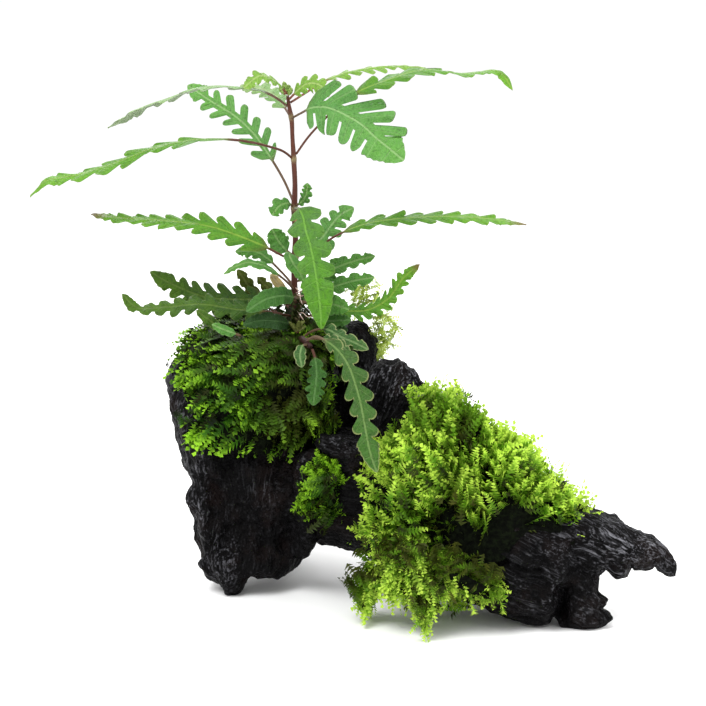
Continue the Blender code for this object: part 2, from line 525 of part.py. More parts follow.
def build_wood():
    """The forks of the driftwood, each cut clear of those before it."""
    stump = add_limb(STUMP, BLACK_WOOD)
    for toe in (LEFT_TOE, SECOND_TOE):
        combine(stump, add_limb(toe, BLACK_WOOD), "UNION")
    combine(stump, ground_block(), "DIFFERENCE")
    made = [stump]
    for limb in (TRUNK, PEAK, KNOB, ARM, HEEL, BACK_ROOT):
        piece = add_limb(limb, BLACK_WOOD)
        for earlier in made:
            combine(piece, swollen(earlier), "DIFFERENCE")
        combine(piece, ground_block(), "DIFFERENCE")
        made.append(piece)
    return made


def tube_points(rows, sides):
    """Round rings, each square to a path of (x, y, z, radius) rows in millimetres."""
    path, radius = rows[:, :3], rows[:, 3]
    ahead = np.gradient(path, axis=0)
    ahead /= np.linalg.norm(ahead, axis=1)[:, None]
    side = np.cross(ahead, (0.0, 1.0, 0.0)) + 1e-9
    side /= np.linalg.norm(side, axis=1)[:, None]
    other = np.cross(ahead, side)
    angle = np.linspace(0.0, 2 * math.pi, sides, endpoint=False)[None, :, None]
    ring = np.cos(angle) * side[:, None, :] + np.sin(angle) * other[:, None, :]
    return (path[:, None, :] + radius[:, None, None] * ring).reshape(-1, 3)


def add_stems():
    """The upright main stem and the old stem that creeps forward from its foot."""
    main = np.array([(a, u, STEM_BACK, r) for a, u, r in MAIN_STEM])
    main = np.column_stack((placed(main[:, :3]) / MM, main[:, 3]))
    stem = add_object("main_stem", tube_points(main, STEM_SIDES) * MM,
                      tube_faces(len(main), STEM_SIDES), STEM_BROWN, STEM_ROUGHNESS)
    creeping = np.array(CREEPING_STEM)
    creeping = np.column_stack((placed(creeping[:, :3]) / MM, creeping[:, 3]))
    ahead = creeping[1:, :3] - creeping[:-1, :3]
    side = np.cross(ahead, (0.0, 0.0, 1.0))
    side = np.vstack((side, side[-1:]))
    side /= np.linalg.norm(side, axis=1)[:, None]
    angle = np.linspace(0.0, 2 * math.pi, STEM_SIDES, endpoint=False)[None, :, None]
    ring = np.cos(angle) * side[:, None, :] + np.sin(angle) * np.array((0.0, 0.0, 1.0))
    points = creeping[:, None, :3] + creeping[:, None, 3:4] * ring
    old = add_object("creeping_stem", points.reshape(-1, 3) * MM,
                     tube_faces(len(creeping), STEM_SIDES), STEM_BROWN, STEM_ROUGHNESS)
    return stem, old


def star_points(rings, points_round):
    """Points of a tuft: star-shaped rings, whose blades reach out and up by the spread."""
    rings = np.array(rings, float)
    centres = placed(rings[:, :3]) / MM
    count = points_round * 2
    angle = np.linspace(0.0, 2 * math.pi, count, endpoint=False) + TUFT_TURN
    outward = np.where(np.arange(count) % 2 == 0, 1.0, 0.0)
    radius = rings[:, 3:4] + rings[:, 4:5] * outward[None, :]
    rise = rings[:, 4:5] * outward[None, :] * BLADE_RISE
    return np.stack((centres[:, 0:1] + radius * np.cos(angle), centres[:, 1:2]
                     + radius * np.sin(angle), centres[:, 2:3] + rise), axis=2).reshape(-1, 3)


def add_tufts():
    """The bud at the top of the stem and the small rosette in front of its foot."""
    for name, rings, blades, colour in TUFTS:
        points = star_points(rings, blades) * MM
        add_object(name, points, tube_faces(len(rings), blades * 2), colour, LEAF_ROUGHNESS)


def blade_outline(leaf):
    """Rows of (share of the length, half width, sweep) for the stalk and the lobed blade."""
    rows = [(share, STALK_RADIUS, 0.0) for share in np.linspace(0.0, leaf.stalk, STALK_ROWS)]
    lobes = leaf.lobes
    reach = 1.0 - leaf.stalk
    for lobe in range(lobes):
        for place, depth, sweep in ((BETWEEN_LOBES, leaf.notch, 0.0),
                                    (LOBE_TIP, 0.0, TIP_SWEEP)):
            share = (lobe + place) / (lobes + LAST_LOBE)
            turn = math.pi * (BLADE_START + BLADE_SPAN * share) ** leaf.skew
            full = math.sin(turn) ** BLADE_FULLNESS
            half = 0.5 * leaf.width * full * (1.0 - depth)
            rows.append((leaf.stalk + reach * share, max(half, STALK_RADIUS), sweep))
    return rows


def leaf_frame(leaf, path):
    """Unit vectors along, across to the right and up from the upper face at each point."""
    ahead = np.gradient(path, axis=0)
    ahead /= np.linalg.norm(ahead, axis=1)[:, None]
    steps = np.linspace(0.0, len(leaf.roll) - 1.0, len(path))
    roll = np.radians(np.interp(steps, range(len(leaf.roll)), leaf.roll))
    face = np.column_stack((np.zeros(len(path)), -np.sin(roll), np.cos(roll)))
    right = np.cross(ahead, face)
    right /= np.linalg.norm(right, axis=1)[:, None]
    return ahead, right, np.cross(right, ahead)


def leaf_rows(leaf):
    """Points of a leaf: four to a row, at the left edge, rib top, right edge and rib bottom."""
    path = smooth_rows(placed(leaf.path) / MM, PATH_POINTS)
    away = np.linalg.norm(path - path[0], axis=1)
    path = smooth_rows(path[away >= LEAF_START], PATH_POINTS)
    ahead, right, face = leaf_frame(leaf, path)
    length = np.linalg.norm(np.diff(path, axis=0), axis=1).sum()
    points = []
    for share, half, sweep in blade_outline(leaf):
        at = share * (len(path) - 1)
        low = min(int(at), len(path) - 2)
        mix = at - low
        spot, ahead_here, right_here, face_here = (
            values[low] * (1 - mix) + values[low + 1] * mix
            for values in (path, ahead, right, face))
        thin = STALK_RADIUS if half <= STALK_RADIUS else LEAF_HALF_THICKNESS
        drop = leaf.droop * (half - STALK_RADIUS)
        lean = min(sweep * length, MOST_SWEEP * half)
        edge = spot + ahead_here * lean - face_here * drop
        points += [edge - right_here * half, spot + face_here * thin,
                   edge + right_here * half, spot - face_here * thin]
    return np.array(points), path[-1]


def add_leaf(leaf):
    """One leaf with its stalk, ending in a point."""
    points, tip = leaf_rows(leaf)
    rows = len(points) // 4
    faces = tube_faces(rows, 4)[:-1]
    last = (rows - 1) * 4
    faces += [(last + side, last + (side + 1) % 4, len(points)) for side in range(4)]
    return add_object(leaf.name, np.vstack((points, tip)) * MM, faces, leaf.colour, LEAF_ROUGHNESS)


def build_plant():
    """Stems, bud, rosette and leaves."""
    stem, old = add_stems()
    add_tufts()
    for leaf in LEAVES:
        add_leaf(leaf)
    return stem, old


def build_moss(wood, stems):
    """Moss cushions, cut clear of the wood, the stems and each other."""
    made = []
    for limb, colour in ((MAT_LEFT, MOSS_DARK), (PATCH_CENTRE, MOSS_DARK),
                         (CUSHION_RIGHT, MOSS_LIGHT), (CURTAIN_RIGHT, MOSS_LIGHT),
                         (TUFT_BACK, MOSS_LIGHT)):
        piece = add_limb(limb, colour, MOSS_ROUGHNESS)
        for other in (*wood, *stems, *made):
            combine(piece, swollen(other), "DIFFERENCE")
        made.append(piece)


def main():
    """Clear the scene and build the object."""
    for old in list(bpy.data.objects):
        bpy.data.objects.remove(old)
    wood = build_wood()
    stems = build_plant()
    for stem in stems:
        for piece in wood:
            combine(stem, swollen(piece), "DIFFERENCE")
    combine(stems[1], swollen(stems[0]), "DIFFERENCE")
    build_moss(wood, stems)


main()
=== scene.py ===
"""Dresses a stem plant that grows with moss on black driftwood.

Lengths are millimetres until a mesh is made. Places of the plant are written as they
are seen from the front viewpoint, (across, up, back), and placed() turns them into
x, y, z, where +Z is up and the front faces -Y.
"""

import logging
import math
from dataclasses import dataclass, field, replace
from enum import Enum

import bmesh
import bpy
import numpy as np
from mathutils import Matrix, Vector
from mathutils.bvhtree import BVHTree


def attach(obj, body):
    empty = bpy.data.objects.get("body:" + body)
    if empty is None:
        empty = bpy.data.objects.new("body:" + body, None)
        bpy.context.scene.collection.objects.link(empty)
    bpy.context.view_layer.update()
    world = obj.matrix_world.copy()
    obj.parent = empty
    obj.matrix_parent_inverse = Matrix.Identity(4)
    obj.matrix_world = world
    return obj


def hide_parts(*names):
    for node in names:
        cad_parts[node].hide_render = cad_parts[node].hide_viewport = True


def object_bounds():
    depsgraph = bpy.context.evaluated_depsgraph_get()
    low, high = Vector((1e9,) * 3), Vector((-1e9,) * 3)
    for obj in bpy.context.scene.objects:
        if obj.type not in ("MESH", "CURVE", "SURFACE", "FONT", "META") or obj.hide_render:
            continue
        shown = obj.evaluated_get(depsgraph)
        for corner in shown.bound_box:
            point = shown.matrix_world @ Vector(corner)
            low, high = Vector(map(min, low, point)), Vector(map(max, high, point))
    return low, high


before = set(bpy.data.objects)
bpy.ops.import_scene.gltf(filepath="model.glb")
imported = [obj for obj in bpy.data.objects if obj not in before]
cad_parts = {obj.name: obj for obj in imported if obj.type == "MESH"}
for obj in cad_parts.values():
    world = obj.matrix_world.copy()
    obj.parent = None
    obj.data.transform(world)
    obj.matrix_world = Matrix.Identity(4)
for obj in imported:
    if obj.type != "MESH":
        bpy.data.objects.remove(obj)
CAD_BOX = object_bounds()
LOG = logging.getLogger("planted_wood")

MM = 0.001
BODY = "root"

# Front viewpoint
VIEW_DISTANCE = 800.0
VIEW_RISE = math.radians(12.0)
VIEW_HEIGHT = 96.0
FRAME_SHIFT = (0.3, 11.0, 0.0)
SENSOR_WIDTH = 36.0
FRAME_PIXELS = 706.0

Array = np.ndarray
Colour = tuple[float, float, float]


# Geometry helpers

def placed(rows: Array) -> Array:
    """Turn rows as seen from the front into x, y, z.

    A point keeps its direction from the viewpoint, and slides along that line of sight
    until it is as far back as its row says.

    Args:
        rows: rows of (across, up, back).

    Returns:
        Rows of x, y, z.
    """
    rows = np.atleast_2d(np.asarray(rows, float))
    across, up, back = rows[:, 0], rows[:, 1] - VIEW_HEIGHT, rows[:, 2]
    rise, run = math.sin(VIEW_RISE), math.cos(VIEW_RISE)
    reach = (back + VIEW_DISTANCE * run) / (VIEW_DISTANCE * run + up * rise)
    height = VIEW_HEIGHT + VIEW_DISTANCE * rise + reach * (up * run - VIEW_DISTANCE * rise)
    return np.column_stack((reach * across, back, height)) + FRAME_SHIFT


def seen(points: Array) -> tuple[Array, Array]:
    """Where points are seen from the front: the inverse of placed().

    Args:
        points: rows of x, y, z.

    Returns:
        The across and the up of each point.
    """
    x, y, z = (points - FRAME_SHIFT).T
    rise, run = math.sin(VIEW_RISE), math.cos(VIEW_RISE)
    far = y + VIEW_DISTANCE * run
    drop = z - VIEW_HEIGHT - VIEW_DISTANCE * rise
    up = VIEW_DISTANCE * (far * rise + drop * run) / (far * run - drop * rise)
    reach = far / (VIEW_DISTANCE * run + up * rise)
    return x / reach, up + VIEW_HEIGHT


def smooth_rows(rows: Array, count: int) -> Array:
    """Even rows along a smooth curve through the given rows.

    Between two rows the curve is a cubic that has the slope of its neighbours.

    Args:
        rows: the rows, of which the first three columns are a place.
        count: how many rows to return.

    Returns:
        The new rows.
    """
    rows = np.asarray(rows, float)
    steps = np.maximum(np.linalg.norm(np.diff(rows[:, :3], axis=0), axis=1), 1e-6)
    along = np.concatenate(([0.0], np.cumsum(steps)))
    slopes = np.gradient(rows, along, axis=0)
    at = np.linspace(0.0, along[-1], count)
    left = np.clip(np.searchsorted(along, at, side="right") - 1, 0, len(steps) - 1)
    span = steps[left][:, None]
    u = ((at - along[left]) / steps[left])[:, None]
    start, end = rows[left], rows[left + 1]
    return ((2 * u**3 - 3 * u**2 + 1) * start + (u**3 - 2 * u**2 + u) * span * slopes[left]
            + (3 * u**2 - 2 * u**3) * end + (u**3 - u**2) * span * slopes[left + 1])


def unit(vectors: Array) -> Array:
    """The same directions with length 1."""
    return vectors / np.maximum(np.linalg.norm(vectors, axis=-1, keepdims=True), 1e-9)


def eased(low: float, high: float, values: Array) -> Array:
    """0 below low, 1 above high, and a smooth step between."""
    part = np.clip((values - low) / (high - low), 0.0, 1.0)
    return part * part * (3 - 2 * part)


def path_length(path: Array) -> float:
    """Length of a path of points."""
    return float(np.linalg.norm(np.diff(path, axis=0), axis=1).sum())


@dataclass
class Lattice:
    """Smooth random numbers in space, on a cube of cells that repeats.

    A value is the mix of those at the eight corners of its cell, eased towards each.
    """

    seed: int
    size: int = 32
    values: Array = field(init=False, repr=False)

    def __post_init__(self) -> None:
        """Draw the corner values."""
        self.values = np.random.default_rng(self.seed).uniform(-1, 1, (self.size,) * 3)

    def at(self, points: Array, cell: float) -> Array:
        """Value in -1..1 at each point.

        Args:
            points: rows of x, y, z.
            cell: width of a cell.

        Returns:
            One value per row.
        """
        grid = points / cell
        low = np.floor(grid).astype(int)
        part = grid - low
        part = part * part * (3 - 2 * part)
        total = np.zeros(len(points))
        for corner in np.ndindex(2, 2, 2):
            share = np.prod(np.where(corner, part, 1 - part), axis=1)
            x, y, z = ((low + corner) % self.size).T
            total += share * self.values[x, y, z]
        return total

    def ridges(self, points: Array, cell: float) -> Array:
        """Sharp crests: 1 where the value is 0, and lower away from there."""
        return 1 - 2 * np.abs(self.at(points, cell))


def add_mesh(name: str, points: Array, triangles: Array,
             marks: dict[str, Array] | None = None) -> bpy.types.Object:
    """Make a smooth mesh object from whole arrays.

    Args:
        name: the object's name.
        points: rows of x, y, z in millimetres.
        triangles: rows of three point numbers.
        marks: one value, or one row of three, per point for each named attribute.

    Returns:
        The object, linked to the scene.
    """
    mesh = bpy.data.meshes.new(name)
    mesh.vertices.add(len(points))
    mesh.vertices.foreach_set("co", (points * MM).astype(np.float32).ravel())
    mesh.loops.add(triangles.size)
    mesh.loops.foreach_set("vertex_index", triangles.astype(np.int32).ravel())
    mesh.polygons.add(len(triangles))
    starts = np.arange(0, triangles.size, 3, dtype=np.int32)
    mesh.polygons.foreach_set("loop_start", starts)
    mesh.update(calc_edges=True)
    mesh.validate()
    for key, values in (marks or {}).items():
        add_mark(mesh, key, values)
    mesh.shade_smooth()
    made = bpy.data.objects.new(name, mesh)
    bpy.context.scene.collection.objects.link(made)
    return made


def add_mark(mesh: bpy.types.Mesh, key: str, values: Array) -> None:
    """Store one number, or a row of three, on each point of a mesh."""
    kind, part = ("FLOAT", "value") if values.ndim == 1 else ("FLOAT_VECTOR", "vector")
    mark = mesh.attributes.new(key, kind, "POINT")
    mark.data.foreach_set(part, values.astype(np.float32).ravel())


def fitted(made: bpy.types.Object, slot: str, *nodes: str) -> bpy.types.Object:
    """Fix a piece to the body.

    Args:
        made: the piece.
        slot: its material slot, which is not used.
        nodes: the solids that it takes the place of.

    Returns:
        The piece.
    """
    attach(made, BODY)
    if nodes:
        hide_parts(*nodes)
    return made


def tube_triangles(rows: int, sides: int) -> Array:
    """Triangles of a tube of rows * sides points, then one point at each end.

    Args:
        rows: how many rings.
        sides: points in each ring.

    Returns:
        Rows of three point numbers, facing outwards.
    """
    ring = np.arange(rows - 1)[:, None] * sides
    side = np.arange(sides)[None, :]
    after = (side + 1) % sides
    a, b, c, d = ring + side, ring + after, ring + sides + side, ring + sides + after
    walls = [np.stack((a, b, d), -1).reshape(-1, 3), np.stack((a, d, c), -1).reshape(-1, 3)]
    first, last = rows * sides, rows * sides + 1
    side, after, end = side[0], after[0], (rows - 1) * sides
    near = np.column_stack((after, side, np.full(sides, first)))
    far = np.column_stack((side + end, after + end, np.full(sides, last)))
    return np.concatenate((*walls, near, far))


def tube_points(path: Array, radii: Array, sides: int) -> Array:
    """Round rings square to a path, then the path's two ends.

    Args:
        path: rows of x, y, z.
        radii: one radius per row.
        sides: points in each ring.

    Returns:
        Rows of x, y, z for tube_triangles().
    """
    ahead = unit(np.gradient(path, axis=0))
    helper = np.where(np.abs(ahead[:, 2:3]) > 0.9, (0.0, 1.0, 0.0), (0.0, 0.0, 1.0))
    side = unit(np.cross(ahead, helper))
    other = np.cross(ahead, side)
    angle = np.linspace(0.0, 2 * math.pi, sides, endpoint=False)[None, :, None]
    ring = np.cos(angle) * side[:, None, :] + np.sin(angle) * other[:, None, :]
    walls = (path[:, None, :] + radii[:, None, None] * ring).reshape(-1, 3)
    return np.vstack((walls, path[:1], path[-1:]))


def merged(parts: list[tuple[Array, Array, dict[str, Array]]]
           ) -> tuple[Array, Array, dict[str, Array]]:
    """One set of points, triangles and marks from several."""
    offsets = np.cumsum([0] + [len(points) for points, _, _ in parts[:-1]])
    points = np.vstack([part[0] for part in parts])
    triangles = np.vstack([part[1] + offset for part, offset in zip(parts, offsets)])
    marks = {key: np.concatenate([part[2][key] for part in parts]) for key in parts[0][2]}
    return points, triangles, marks


def node_surface(names: tuple[str, ...]) -> tuple[Array, Array]:
    """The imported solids' surface as joined points and triangles.

    Args:
        names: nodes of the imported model.

    Returns:
        Points in millimetres and rows of three point numbers.
    """
    shape = bmesh.new()
    for name in names:
        shape.from_mesh(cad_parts[name].data)
    bmesh.ops.remove_doubles(shape, verts=shape.verts, dist=1e-6)
    bmesh.ops.triangulate(shape, faces=shape.faces)
    shape.verts.index_update()
    points = np.array([vertex.co for vertex in shape.verts]) / MM
    triangles = np.array([[corner.index for corner in face.verts] for face in shape.faces])
    shape.free()
    return points, triangles


def point_normals(points: Array, triangles: Array) -> Array:
    """Outward direction at each point, the mean of its faces by area."""
    corners = points[triangles]
    facing = np.cross(corners[:, 1] - corners[:, 0], corners[:, 2] - corners[:, 0])
    total = np.zeros_like(points)
    for corner in range(3):
        np.add.at(total, triangles[:, corner], facing)
    return unit(total)


def relaxed(points: Array, triangles: Array, rounds: int) -> Array:
    """Points moved halfway to the mean of their neighbours, some rounds over."""
    ends = np.vstack((triangles[:, :2], triangles[:, 1:], triangles[:, ::2]))
    count = np.bincount(ends.ravel(), minlength=len(points))[:, None]
    for _ in range(rounds):
        total = np.zeros_like(points)
        for axis in range(3):
            total[:, axis] = (
                np.bincount(ends[:, 0], points[ends[:, 1], axis], len(points))
                + np.bincount(ends[:, 1], points[ends[:, 0], axis], len(points)))
        points = points + 0.5 * (total / np.maximum(count, 1) - points)
    return points


def remeshed(name: str, points: Array, triangles: Array, voxel: float) -> tuple[Array, Array]:
    """One closed skin round overlapping shells, in cells of an even size.

    Args:
        name: name for the object that is used on the way.
        points: rows of x, y, z.
        triangles: rows of three point numbers.
        voxel: width of a cell.

    Returns:
        Points and triangles of the skin.
    """
    source = add_mesh(name, points, triangles)
    modifier = source.modifiers.new("skin", "REMESH")
    modifier.mode = "VOXEL"
    modifier.voxel_size = voxel * MM
    bpy.context.view_layer.update()
    shown = source.evaluated_get(bpy.context.evaluated_depsgraph_get())
    shape = bmesh.new()
    shape.from_mesh(shown.data)
    bmesh.ops.triangulate(shape, faces=shape.faces)
    mesh = bpy.data.meshes.new(name)
    shape.to_mesh(mesh)
    shape.free()
    skin = np.zeros(len(mesh.vertices) * 3, np.float32)
    mesh.vertices.foreach_get("co", skin)
    corners = np.zeros(len(mesh.polygons) * 3, np.int32)
    mesh.loops.foreach_get("vertex_index", corners)
    bpy.data.objects.remove(source)
    bpy.data.meshes.remove(mesh)
    return skin.reshape(-1, 3).astype(float) / MM, corners.reshape(-1, 3)


def inside_box(points: Array) -> Array:
    """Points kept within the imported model's box, and above the ground."""
    low, high = np.array(CAD_BOX[0]) / MM, np.array(CAD_BOX[1]) / MM
    low[2] = 0.0
    return np.clip(points, low, high)


# Finishes

@dataclass
class Graph:
    """A material and short ways to add and join its nodes."""

    name: str
    material: bpy.types.Material = field(init=False)

    def __post_init__(self) -> None:
        """Start an empty material with its output."""
        self.material = bpy.data.materials.new(self.name)
        self.material.use_nodes = True
        self.material.node_tree.nodes.clear()
        self.out = self.node("OutputMaterial")

    def node(self, kind: str, inputs: dict | None = None, **settings) -> bpy.types.Node:
        """Add a shader node.

        Args:
            kind: the node's type without its ShaderNode prefix.
            inputs: a value or an output for each named or numbered input.
            settings: other properties of the node.

        Returns:
            The node.
        """
        made = self.material.node_tree.nodes.new("ShaderNode" + kind)
        for key, value in settings.items():
            setattr(made, key, value)
        for key, value in (inputs or {}).items():
            self.put(made.inputs[key], value)
        return made

    def put(self, socket: bpy.types.NodeSocket, value) -> None:
        """Join an output to a socket, or set its value."""
        if isinstance(value, bpy.types.NodeSocket):
            self.material.node_tree.links.new(value, socket)
        elif isinstance(value, tuple) and len(value) == 3 and socket.type == "RGBA":
            socket.default_value = (*value, 1.0)
        else:
            socket.default_value = value

    def math(self, operation: str, *values) -> bpy.types.NodeSocket:
        """The result of arithmetic on numbers or outputs."""
        made = self.node("Math", dict(enumerate(values)), operation=operation)
        return made.outputs[0]

    def step(self, value, low: float, high: float, start: float = 0.0,
             end: float = 1.0) -> bpy.types.NodeSocket:
        """A smooth step from start to end as the value goes from low to high."""
        inputs = {"Value": value, "From Min": low, "From Max": high,
                  "To Min": start, "To Max": end}
        return self.node("MapRange", inputs, interpolation_type="SMOOTHSTEP").outputs[0]

    def mix(self, share, first, second) -> bpy.types.NodeSocket:
        """A mix of two colours."""
        made = self.node("Mix", data_type="RGBA")
        self.put(made.inputs["Factor"], share)
        self.put(made.inputs[6], first)
        self.put(made.inputs[7], second)
        return made.outputs[2]

    def mark(self, key: str, part: str = "Fac") -> bpy.types.NodeSocket:
        """A value stored on the mesh."""
        return self.node("Attribute", attribute_name=key).outputs[part]

    def place(self, stretch: tuple[float, float, float] = (1.0, 1.0, 1.0),
              source=None) -> bpy.types.NodeSocket:
        """Object coordinates in millimetres, or a stored vector, each axis stretched."""
        scale = tuple(value / MM for value in stretch) if source is None else stretch
        vector = source or self.node("TexCoord").outputs["Object"]
        return self.node("Mapping", {"Vector": vector, "Scale": scale}).outputs[0]

    def noise(self, vector, scale: float, detail: float = 4.0,
              roughness: float = 0.55) -> bpy.types.NodeSocket:
        """Noise in 0..1 with the given number of cells per millimetre."""
        inputs = {"Vector": vector, "Scale": scale, "Detail": detail,
                  "Roughness": roughness}
        return self.node("TexNoise", inputs).outputs["Fac"]

    def times(self, first, second) -> bpy.types.NodeSocket:
        """One value times another."""
        return self.math("MULTIPLY", first, second)

    def plus(self, first, second) -> bpy.types.NodeSocket:
        """The sum of two values."""
        return self.math("ADD", first, second)

    def less(self, first, second) -> bpy.types.NodeSocket:
        """The first value less the second."""
        return self.math("SUBTRACT", first, second)

    def bump(self, height, depth: float, before=None) -> bpy.types.NodeSocket:
        """A normal that is tilted by a height, with the given depth in millimetres."""
        inputs = {"Height": height, "Distance": depth * MM, "Strength": 1.0}
        if before is not None:
            inputs["Normal"] = before
        return self.node("Bump", inputs).outputs[0]

    def principled(self, inputs: dict) -> bpy.types.NodeSocket:
        """A principled shader's output."""
        return self.node("BsdfPrincipled", inputs).outputs[0]

    def finish(self, shader) -> bpy.types.Material:
        """Send a shader to the output and return the material."""
        self.put(self.out.inputs["Surface"], shader)
        return self.material


@dataclass(frozen=True)
class WoodFinish:
    """Black waterlogged wood: pale fibres along the grain and pebbly grit, painted as a
    highlight where the lit mark is high, and painted shade in the hollows of the relief.

    A scale is how many times a pattern repeats in a millimetre, and a depth is in
    millimetres.
    """

    hollow_shade: Colour = (0.0010, 0.0009, 0.0010)
    body: Colour = (0.0028, 0.0026, 0.0028)
    # The fibre and grit colours are painted highlight, pale grey on the black wood.
    fibre: Colour = (0.185, 0.185, 0.205)
    grit: Colour = (0.115, 0.115, 0.128)
    stain: Colour = (0.010, 0.0065, 0.006)
    long_scale: float = 0.62
    thin_scale: float = 1.25
    pebble_scale: float = 0.72
    knot_scale: float = 0.42
    stain_scale: float = 0.06
    fibre_depth: float = 1.6
    grit_depth: float = 1.2
    shine: float = 0.04

    def material(self) -> bpy.types.Material:
        """Build the wood's material from its marks: relief, lit and grain."""
        graph = Graph("black_wood")
        grain = graph.mark("grain", "Vector")
        long_fibre = graph.noise(graph.place((0.07, 1.0, 1.0), grain), self.long_scale,
                                 4.0, 0.62)
        thin_fibre = graph.noise(graph.place((0.11, 1.0, 1.0), grain), self.thin_scale,
                                 3.0, 0.6)
        pebble = graph.node("TexVoronoi", {"Vector": graph.place(),
                                           "Scale": self.pebble_scale},
                            feature="F1").outputs["Distance"]
        knots = graph.noise(graph.place(), self.knot_scale, 4.0, 0.7)
        patch = graph.noise(graph.place(), self.stain_scale, 3.0)
        relief, lit = graph.mark("relief"), graph.mark("lit")
        streak = graph.plus(graph.step(long_fibre, 0.53, 0.63, 0.0, 0.7),
                            graph.step(thin_fibre, 0.54, 0.66, 0.0, 0.45))
        streak = graph.times(streak, graph.step(thin_fibre, 0.42, 0.60, 0.1, 1.0))
        grains = graph.times(graph.step(pebble, 0.10, 0.50, 1.0, 0.0),
                             graph.step(knots, 0.47, 0.62))
        # Painted highlight: pale fibres and grit on the crests, where the lit mark is high.
        high = graph.step(relief, -0.35, 0.40, 0.08, 1.0)
        streak = graph.times(graph.times(streak, high), lit)
        grains = graph.times(graph.times(grains, high), graph.math("POWER", lit, 0.7))
        # Painted shade: the relief's hollows take the darker hollow colour.
        colour = graph.mix(graph.step(relief, -0.7, 0.2), self.hollow_shade, self.body)
        colour = graph.mix(graph.step(patch, 0.5, 0.7, 0.0, 0.8), colour, self.stain)
        colour = graph.mix(grains, colour, self.grit)
        colour = graph.mix(streak, colour, self.fibre)
        height = graph.plus(long_fibre, graph.times(thin_fibre, 0.4))
        rough = graph.less(knots, graph.times(pebble, 0.7))
        normal = graph.bump(rough, self.grit_depth, graph.bump(height, self.fibre_depth))
        shader = graph.principled({
            "Base Color": colour, "Roughness": graph.step(knots, 0.3, 0.7, 0.38, 0.6),
            "Specular IOR Level": self.shine, "Normal": normal})
        return graph.finish(shader)


@dataclass(frozen=True)
class LeafFinish:
    """A leaf's colours, from the brown stalk to the pale margin.

    mottle, margin_share, vein_share and rib_share are the greatest shares of the far
    colour, the margin's and the rib's. tip_brown is the share of the blade's length
    that is brown. lit is the tint of the light that glow lets through the blade.
    """

    name: str
    slot: str
    blade: Colour
    blade_far: Colour
    rib: Colour
    margin: Colour
    stalk: Colour
    under: Colour
    mottle: float = 0.35
    gloss: float = 0.42
    glow: float = 0.20
    margin_share: float = 0.5
    tip_brown: float = 0.0
    brown: Colour = (0.16, 0.075, 0.03)
    lit: Colour = (0.28, 0.50, 0.02)
    fleck_dark: float = 0.45
    vein_share: float = 0.32
    rib_share: float = 0.75
    lit_share: float = 0.2
    blotch_scale: float = 0.30
    cell_scale: float = 0.85
    fleck_scale: float = 0.9
    vein_depth: float = 0.22
    shine: float = 0.16

    def material(self) -> bpy.types.Material:
        """Build the leaf's material from its marks: rib, margin, vein, along and top."""
        graph = Graph(self.name)
        along, vein = graph.mark("along"), graph.mark("vein")
        aside = graph.math("ABSOLUTE", graph.mark("rib"))
        blotch = graph.noise(graph.place(), self.blotch_scale, 3.0)
        cells = graph.node("TexVoronoi", {"Vector": graph.place(), "Scale": self.cell_scale},
                           feature="DISTANCE_TO_EDGE").outputs["Distance"]
        bumps = graph.step(cells, 0.0, 0.28)
        phase = graph.math("ABSOLUTE", graph.less(graph.math("FRACT", vein), 0.5))
        side_vein = graph.times(graph.step(phase, 0.0, 0.07, 1.0, 0.0),
                                graph.step(along, -0.01, 0.03))
        mid_rib = graph.step(aside, 0.25, 0.55, 1.0, 0.0)
        share = graph.plus(graph.step(along, 0.1, 1.0, 0.0, 0.65),
                           graph.step(blotch, 0.35, 0.65, 0.0, self.mottle))
        colour = graph.mix(share, self.blade, self.blade_far)
        fleck = graph.noise(graph.place(), self.fleck_scale, 3.0, 0.6)
        colour = graph.mix(graph.step(fleck, 0.52, 0.30, 0.0, 0.55), colour,
                           tuple(self.fleck_dark * part for part in self.blade))
        net = graph.step(bumps, 0.0, 1.0, 0.12, 0.0)
        colour = graph.mix(net, colour, self.rib)
        colour = graph.mix(graph.times(side_vein, self.vein_share), colour, self.rib)
        edge = graph.step(graph.mark("margin"), 0.05, 0.5, self.margin_share, 0.0)
        colour = graph.mix(edge, colour, self.margin)
        top = graph.step(graph.mark("top"), -0.2, 0.2)
        colour = graph.mix(top, self.under, colour)
        colour = graph.mix(graph.times(mid_rib, self.rib_share), colour, self.rib)
        if self.tip_brown > 0.0:
            brown = graph.step(along, 1.0 - self.tip_brown, 1.0, 0.0, 0.85)
            colour = graph.mix(brown, colour, self.brown)
        stalk_share = graph.step(along, -0.02, 0.05, 1.0, 0.0)
        colour = graph.mix(stalk_share, colour, self.stalk)
        height = graph.less(graph.times(bumps, 0.5), graph.plus(mid_rib, side_vein))
        normal = graph.bump(height, self.vein_depth)
        shader = graph.principled({
            "Base Color": colour, "Specular IOR Level": self.shine, "Normal": normal,
            "Roughness": graph.step(blotch, 0.3, 0.7, self.gloss - 0.06, self.gloss + 0.1)})
        lit = graph.mix(self.lit_share, colour, self.lit)
        through = graph.node("BsdfTranslucent", {"Color": lit, "Normal": normal}).outputs[0]
        thin = graph.times(graph.step(stalk_share, 0.0, 1.0, 1.0, 0.0), self.glow)
        both = graph.node("MixShader", {0: thin, 1: shader, 2: through}).outputs[0]
        return graph.finish(both)


